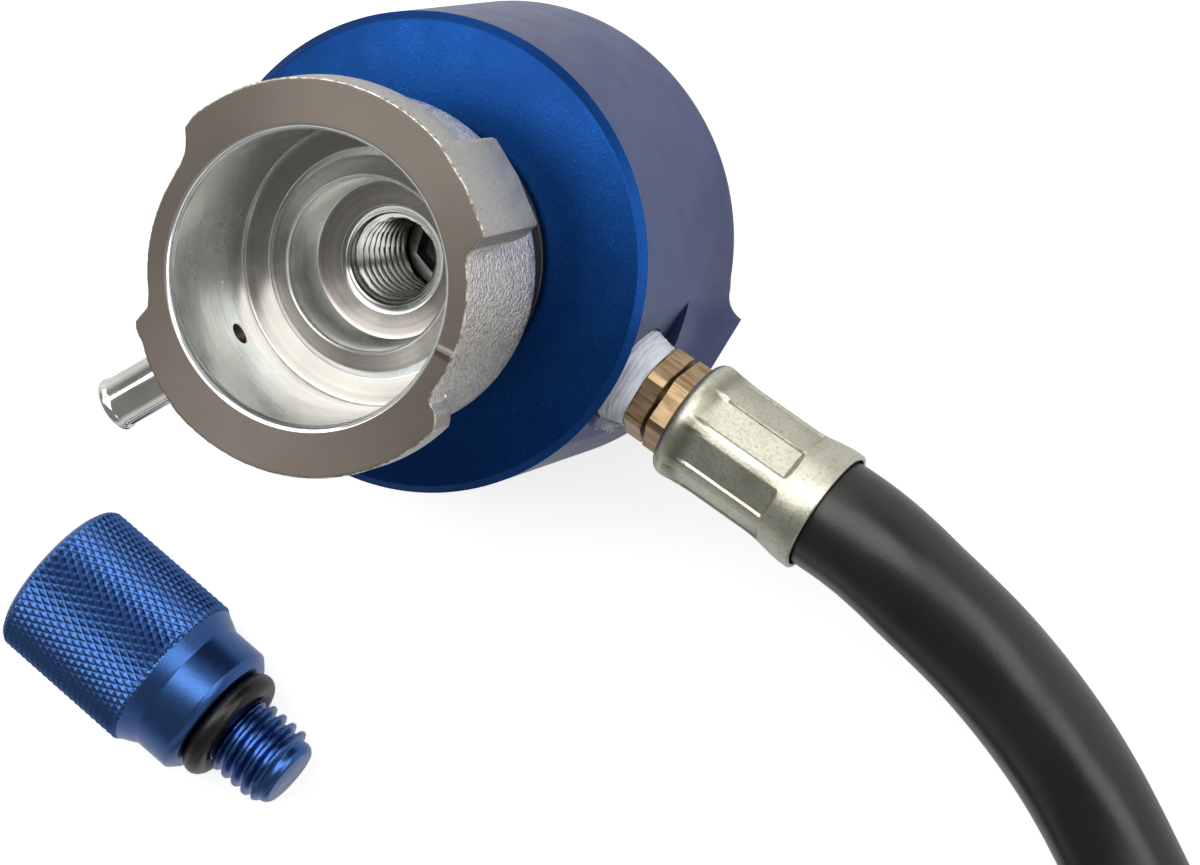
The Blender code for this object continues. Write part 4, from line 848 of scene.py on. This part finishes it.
def make_neck_parts():
    """Overflow pipe, gasket, and the hollow screw at the bottom of the threaded hole."""
    pipe = eased([(1.5, 17.3, 0.0), (2.8, 17.3, 0.2), (2.8, 31.3, 0.3), (3.0, 31.6, 0.3), (3.0, 32.3, 0.8),
                  (1.5, 32.3, 0.3)], 6)
    turned_piece("pipe", pipe, circle(96), "X", PIPE, [CHROME], "head", "overflow_pipe")
    gasket = eased([(8.3, 29.88, 0.1), (14.9, 29.88, 0.25), (14.9, 30.58, 0.25), (8.3, 30.58, 0.1)])
    turned_piece("gasket", gasket, circle(180), "Z", HEAD, [RUBBER], "head", "neck_gasket")
    angles = circle(96)
    socket = hexagon(angles, 6.4, math.radians(12.0))
    nipple = [(2.0, 17.75), (4.4, 17.75), (4.6, 17.95)]
    nipple += thread_rings(angles, 4.6, 4.85, 17.95, 21.0, THREAD_PITCH, 12)
    # The hex socket's walls and the hole under its floor are painted black as shade; the floor stays oiled
    # steel
    nipple += [(4.5, 21.1), (3.9, 21.1), (socket + 0.05, 21.0, 1), (socket, 20.7, 1), (socket, 18.4),
               (2.3, 18.4, 1)]
    turned_piece("nipple", nipple, angles, "Z", HEAD, [OILED, SHADE_BLACK], "head", "nipple_screw")


# Rear cavity

def make_ears():
    """The two bayonet ears in the drum's rear rim, each with two screws."""
    screw_azimuths = []
    for number, ear in enumerate(EAR_AZIMUTHS, 1):
        mesh = sector("ear", EAR_INNER, 25.0, 0.3, 1.9, ear, math.radians(24.0))
        holes = []
        for side in (-1.0, 1.0):
            azimuth = ear + side * math.radians(15.0)
            spot = Matrix.Translation(around(EAR_SCREW_RADIUS, azimuth) * MM)
            hole = [(0.0, -2.0), (1.95, -2.0), (1.95, 1.2), (1.3, 1.25), (1.3, 4.0), (0.0, 4.0)]
            holes.append((lathe("hole", hole, circle(48)), spot))
            screw_azimuths.append(azimuth)
        mesh = bevelled(carved(mesh, holes), 0.18)
        piece(f"ear_{number}", mesh, HEAD, [STEEL], "head", [f"bayonet_ear_{number}"])
    for number, azimuth in enumerate(screw_azimuths, 1):
        angles = circle(72)
        socket = hexagon(angles, 1.3)
        screw = [(socket, 0.32), (1.45, 0.30), (1.6, 0.42), (1.6, 0.9), (1.0, 0.95), (1.0, 6.5),
                 (0.8, 6.8), (0.0, 6.8), (0.0, 0.72), (socket, 0.72)]
        place = HEAD @ Matrix.Translation(around(EAR_SCREW_RADIUS, azimuth) * MM)
        piece(f"screw_{number}", lathe("screw", screw, angles), place, [STEEL], "head",
              [f"bayonet_screw_{number}"])


def make_carrier():
    """The sprung seal carrier with its rim seal, and the shoulder bolt that it slides on."""
    plate = eased([
        (4.85, 6.8, 0.2), (15.6, 6.8, 0.15), (15.6, 7.5, 0.0), (20.2, 7.5, 0.0), (20.2, 6.8, 0.15),
        (20.9, 6.8, 0.2), (20.9, 9.0, 0.3), (4.85, 9.0, 0.2), (4.85, 8.55, 0.0), (6.45, 8.55, 0.0),
        (6.45, 7.25, 0.0), (4.85, 7.25, 0.0),
    ])
    turned_piece("carrier_plate", plate, circle(240), "Z", HEAD, [CARRIER], "carrier",
                 "seal_carrier")
    seal = eased([(15.9, 5.6, 0.5), (19.9, 5.6, 0.5), (19.9, 7.2, 0.1), (15.9, 7.2, 0.1)], 5)
    turned_piece("rim_ring", seal, circle(240), "Z", HEAD, [RUBBER], "carrier", "rim_seal")
    angles = circle(120)
    socket = hexagon(angles, 6.0)
    bolt = [(socket + 0.25, 4.9), (7.4, 4.9), (7.85, 5.05), (8.0, 5.4), (8.0, 6.3), (7.8, 6.5), (4.55, 6.5),
            (4.55, 13.5), (4.35, 13.7), (3.9, 13.7), (3.9, 17.0), (3.7, 17.2), (2.2, 17.2), (2.2, 7.4),
            (socket, 7.4), (socket, 5.2)]
    turned_piece("shoulder_bolt", bolt, angles, "Z", HEAD, [STEEL], "head", "carrier_bolt")


def make_spring():
    """The carrier's spring, a coil of wire that rides on the carrier."""
    low, high, wire, radius, turns = 9.3, 13.7, 0.45, 12.0, 2.25
    steps, sides = 160, 12
    shape = bmesh.new()
    rows = []
    for step in range(steps + 1):
        share = step / steps
        azimuth = math.tau * turns * share
        centre = around(radius, azimuth, low + wire + (high - low - 2.0 * wire) * share)
        toward = around(1.0, azimuth)
        ring = [centre + toward * wire * math.cos(turn) + Vector((0.0, 0.0, wire * math.sin(turn)))
                for turn in circle(sides).tolist()]
        rows.append([shape.verts.new(point * MM) for point in ring])
    for here, there in zip(rows, rows[1:]):
        for part in range(sides):
            beyond = (part + 1) % sides
            shape.faces.new((here[part], here[beyond], there[beyond], there[part]))
    shape.faces.new(rows[0])
    shape.faces.new(rows[-1])
    spring = piece("spring", fitted(shape, "spring"), HEAD, [STEEL], "carrier",
                   ["carrier_spring"])
    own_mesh(spring)


# Side port and hose ends

def make_brass():
    """The adaptor in the port, and the swivel stem that turns in it."""
    angles = circle(360)
    hexed = np.minimum(hexagon(angles, BRASS_HEXAGON), BRASS_CORNER)
    adaptor = [(2.0, 17.3), (4.6, 17.3), (4.6, 27.8), (4.75, 28.0), (hexed - 0.10, 28.0),
               (hexed, 28.10), (hexed, 30.08), (hexed - 0.12, 30.2), (3.25, 30.2), (3.25, 29.4),
               (3.95, 29.4), (3.95, 28.2), (3.25, 28.2), (3.25, 24.0), (2.0, 24.0)]
    turned_piece("adaptor", adaptor, angles, "X", PORT, [BRASS], "head", "male_adaptor")
    turned_hex = np.minimum(hexagon(angles, BRASS_HEXAGON, math.radians(-12.0)), BRASS_CORNER)
    stem = [(1.3, 24.3), (2.85, 24.3), (2.95, 24.5), (2.95, 25.0), (1.9, 25.0), (1.9, 26.2), (2.95, 26.2),
            (2.95, 28.3), (2.25, 28.3), (2.25, 29.3), (2.95, 29.3), (2.95, 30.6), (turned_hex - 0.12, 30.6),
            (turned_hex, 30.72), (turned_hex, 32.88), (turned_hex - 0.12, 33.0), (3.6, 33.0), (3.6, 34.7)]
    for start in (34.7, 39.97, 45.23):
        stem += [(3.2, start + 0.02), (2.95, start + 5.2)]
    stem += [(1.3, 50.5)]
    turned_piece("stem", stem, angles, "X", PORT, [BRASS], "swivel", "swivel_stem")


def ferrule_rings(angles, turn):
    """Rings of the crimped sleeve: round nose, eight pressed panels, flared mouth."""
    panel_floor, panel_half_width, blend = 6.22, 1.66, 0.05
    period = math.tau / 8.0
    within = (angles - turn) % period - period / 2.0
    across = 6.3 * np.sin(within)
    sleeve = [(5.55, 33.30), (6.00, 33.34), (6.42, 33.50), (6.74, 33.78), (6.93, 34.16), (7.00, 34.60),
              (6.98, 34.95), (6.95, 35.20), (6.92, 35.45), (6.88, 35.70), (6.85, 35.95), (6.82, 36.15)]
    places = list(np.arange(36.3, 48.4, 0.15)) + list(np.arange(48.5, 51.7, 0.3)) + [51.75, 51.95, 52.1]
    for place in places:
        bulge = 0.20 * (1.0 - blend_up(place, 35.4, 38.5))
        flare = 0.62 * blend_up(place, 46.0, 51.4)
        sleeve.append((6.68 + bulge + flare, place))
    rings = []
    for radius, place in sleeve:
        floor = panel_floor / np.cos(within)
        floor = floor + 1.7 * np.maximum(0.0, np.abs(across) - panel_half_width)
        floor = floor + 1.1 * max(0.0, place - 47.3)
        gap = radius - floor
        lower = radius - np.where(gap > -1.0, (gap + np.sqrt(gap * gap + blend * blend)) / 2.0, 0.0)
        if place < 37.2:
            share = min(1.0, max(0.0, (place - 34.8) / 2.2)) ** 1.4
            dip = (radius - panel_floor / np.cos(within)) * share
            lower = radius - dip * (1.0 - blend_up(np.abs(across), 1.55, 2.1))
        if place > 49.5:
            lower = np.full(angles.shape, radius)
        if place > 52.0:
            lower = np.full(angles.shape, radius - 0.12)
        rings.append((lower, place))
    rings += [(6.82, 52.1), (6.80, 51.9), (6.75, 50.2), (5.8, 48.1), (5.8, 35.0), (3.9, 35.0), (3.9, 33.3)]
    return rings


def make_ferrule(name, matrix, body, node):
    """A ferrule on either end of the hose."""
    angles = circle(384, FERRULE_TURN)
    rings = ferrule_rings(angles, FERRULE_TURN)
    return turned_piece(name, rings, angles, "X", matrix, [ZINC], body, node)


def make_tape():
    """Sealing tape wound over the adaptor's thread, which flares where it leaves the hole."""
    angles = circle(300)
    rings = [(4.9, 18.2)]
    for place in np.linspace(18.2, 27.75, 90):
        wound = 0.07 * ((place * 1.9 - angles / math.tau * 2.0) % 1.0)
        crease = 0.035 * np.sin(angles * 9.0 + place * 4.2) * np.sin(angles * 4.0 - place * 2.1 + 0.6)
        flare = 0.62 * blend_up(place, 23.6, 25.2) * ((27.9 - place) / 2.9) ** 1.2
        rings.append((4.98 + flare + wound + crease, place + 0.10 * np.sin(angles * 5.0 + place)))
    rings += [(4.9, 27.88), (4.85, 27.7)]
    turned_piece("tape", rings, angles, "X", PORT, [TAPE], "head", "thread_tape")


def make_tape_end():
    """The loose end of the tape: a thin, torn flap that stands off the winding."""
    azimuth, thickness = math.radians(166.0), 0.10
    last_row, last_part = 25, 8
    shape = bmesh.new()
    rows = []
    for step, place in enumerate(np.linspace(24.95, 27.45, last_row + 1).tolist()):
        ragged = 0.28 * math.sin(step * 2.3) + 0.20 * math.sin(step * 4.1 + 1.0)
        reach = 1.75 - 0.42 * (place - 24.95) + ragged * 0.6
        row = []
        for part in range(last_part + 1):
            share = part / last_part
            turn = azimuth + 0.10 * share * share + 0.05 * math.sin(3.0 * share + place * 2.0)
            radius = 5.15 + reach * share + 0.3 * (27.5 - place) / 2.5
            lean = 0.18 * share * math.sin(place * 3.0)
            row.append((place - lean, radius * math.cos(turn), radius * math.sin(turn)))
        rows.append(row)
    sides = []
    across = azimuth + math.radians(90.0)
    for lift in (-0.5 * thickness, 0.5 * thickness):
        shift = Vector((0.0, math.cos(across), math.sin(across))) * lift
        sides.append([[shape.verts.new((Vector(spot) + shift) * MM) for spot in row] for row in rows])
    for side in sides:
        for here, there in zip(side, side[1:]):
            for part in range(last_part):
                shape.faces.new((here[part], here[part + 1], there[part + 1], there[part]))
    lower, upper = sides
    border = [(row, 0) for row in range(last_row)] + [(last_row, part) for part in range(last_part)]
    border += [(row, last_part) for row in range(last_row, 0, -1)]
    border += [(0, part) for part in range(last_part, 0, -1)]
    for (row, part), (next_row, next_part) in zip(border, border[1:] + border[:1]):
        shape.faces.new((lower[row][part], lower[next_row][next_part], upper[next_row][next_part],
                         upper[row][part]))
    piece("tape_end", fitted(shape, "tape_end"), PORT, [TAPE], "head", ["thread_tape"])


def make_far_end(far):
    """The barbed stem and the plug-in connector on the hose's far end."""
    angles = circle(288)
    hexed = hexagon(angles, 12.0)
    edge, eased_edge = np.minimum(hexed, 6.0), np.minimum(hexed, 6.6)
    stem = [(1.3, 21.5), (3.8, 21.5), (4.0, 21.8), (4.0, 28.0), (edge, 28.0), (eased_edge, 28.35),
            (hexed, 28.75), (hexed, 32.2), (eased_edge, 32.6), (edge, 33.0), (3.6, 33.0), (3.6, 34.7),
            (3.2, 34.8), (2.95, 50.5), (1.3, 50.5)]
    barb = turned_piece("far_barb", stem, angles, "X", far, [BRASS], "head", "far_stem")
    hexed = hexagon(angles, 13.0, math.radians(30.0))
    knurl = 0.18 * (0.5 + 0.5 * np.cos(angles * 36.0))
    edge, eased_edge = np.minimum(hexed, 6.4), np.minimum(hexed, 7.1)
    connector = [(4.3, 27.7), (edge, 27.7), (eased_edge, 27.3), (hexed, 26.9), (hexed, 21.6),
                 (eased_edge, 21.1), (edge, 20.7), (4.9, 20.7), (4.6, 20.4), (4.6, 17.2),
                 (4.75, 16.9), (5.6, 15.9), (5.8 - knurl, 15.7), (5.8 - knurl, 13.3),
                 (5.6, 13.1), (4.1, 12.2), (3.7, 11.9), (3.7, 9.2), (3.2, 9.1), (3.2, 7.9), (3.7, 7.8),
                 (3.7, 7.2), (3.4, 6.5), (2.9, 6.2), (2.1, 6.2), (1.8, 6.5), (1.8, 21.2), (4.3, 21.2)]
    plug_in = turned_piece("connector", connector, angles, "X", far, [STEEL], "head",
                           "hose_connector")
    ferrule = make_ferrule("far_sleeve", far, "head", "far_ferrule")
    return [barb, plug_in, ferrule, "far_hose_end"]


# Plug

def make_plug():
    """The loose plug: diamond knurl, collar, seal and a real thread."""
    diamonds, diamond_length, cells, knurl_depth = 63, 1.7, 8, 0.27
    knurl_radius, start = 10.0, -1.1
    angles = circle(diamonds * cells)
    rings = [(0.0, start), (8.3, start), (8.9, start + 0.10), (9.25, start + 0.32)]
    for place in np.arange(start + 0.5, 17.45, diamond_length / cells):
        first = (angles * diamonds / math.tau + place / diamond_length) % 1.0
        second = (angles * diamonds / math.tau - place / diamond_length) % 1.0
        ridge = np.minimum(1.0 - np.abs(2.0 * first - 1.0), 1.0 - np.abs(2.0 * second - 1.0))
        ridge = np.clip(ridge / 0.94, 0.0, 1.0)
        rounding = 0.95 * max(0.0, 1.0 - (place - start) / 1.3) ** 2
        end = knurl_radius - rounding - max(0.0, place - 17.1)
        fade = min(1.0, (place - start) / 1.1, (17.75 - place) / 0.4)
        rings.append((end - knurl_depth * fade * (1.0 - ridge), place))
    rings += [(9.62, 17.55), (9.55, 17.62), (8.76, 19.25), (8.60, 19.45), (8.55, 19.62), (8.55, 23.8),
              (8.48, 23.97), (7.62, 24.82), (7.45, 24.9), (4.6, 24.9), (4.4, 25.1), (4.4, 27.4)]
    rings += thread_rings(angles, 4.22, 5.03, 27.4, 35.0, THREAD_PITCH, 16)
    rings += [(4.22, 35.1), (4.12, 35.4), (3.80, 35.75), (3.68, 35.8), (0.0, 35.8)]
    mesh = lathe("plug", rings, angles, "X", creased=True)
    piece("plug", mesh, PLUG, [PLUG_BLUE], "plug", ["knurled_plug"])
    radius, place, half = 5.85, 26.3, 1.35
    ring = [(radius + half * math.cos(turn), place + half * math.sin(turn)) for turn in circle(24)]
    turned_piece("plug_seal", ring, circle(144), "X", PLUG, [RUBBER], "plug", "plug_oring")


# Whole part

def dress_nodes():
    """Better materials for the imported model's own nodes that stay."""
    looks = {
        "carrier_oring": RUBBER,
        "swivel_oring": RUBBER,
        "swivel_ring": STEEL,
        "crimped_hose_end": HOSE,
        "far_hose_end": HOSE,
    }
    for name, look in looks.items():
        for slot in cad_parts[name].material_slots:
            slot.material = look.material


def main():
    """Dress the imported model."""
    bpy.context.scene.view_settings.view_transform = "Standard"
    make_camera()
    hose, hose_exit, far = make_hose()
    make_studio()
    far_pieces = make_far_end(far)
    make_drum()
    make_neck()
    make_neck_parts()
    make_ears()
    make_carrier()
    make_brass()
    make_tape()
    make_tape_end()
    make_ferrule("ferrule", PORT @ Matrix.Translation((-FERRULE_INSET, 0.0, 0.0)), "swivel",
                 "hose_ferrule")
    make_spring()
    make_plug()
    dress_nodes()


main()
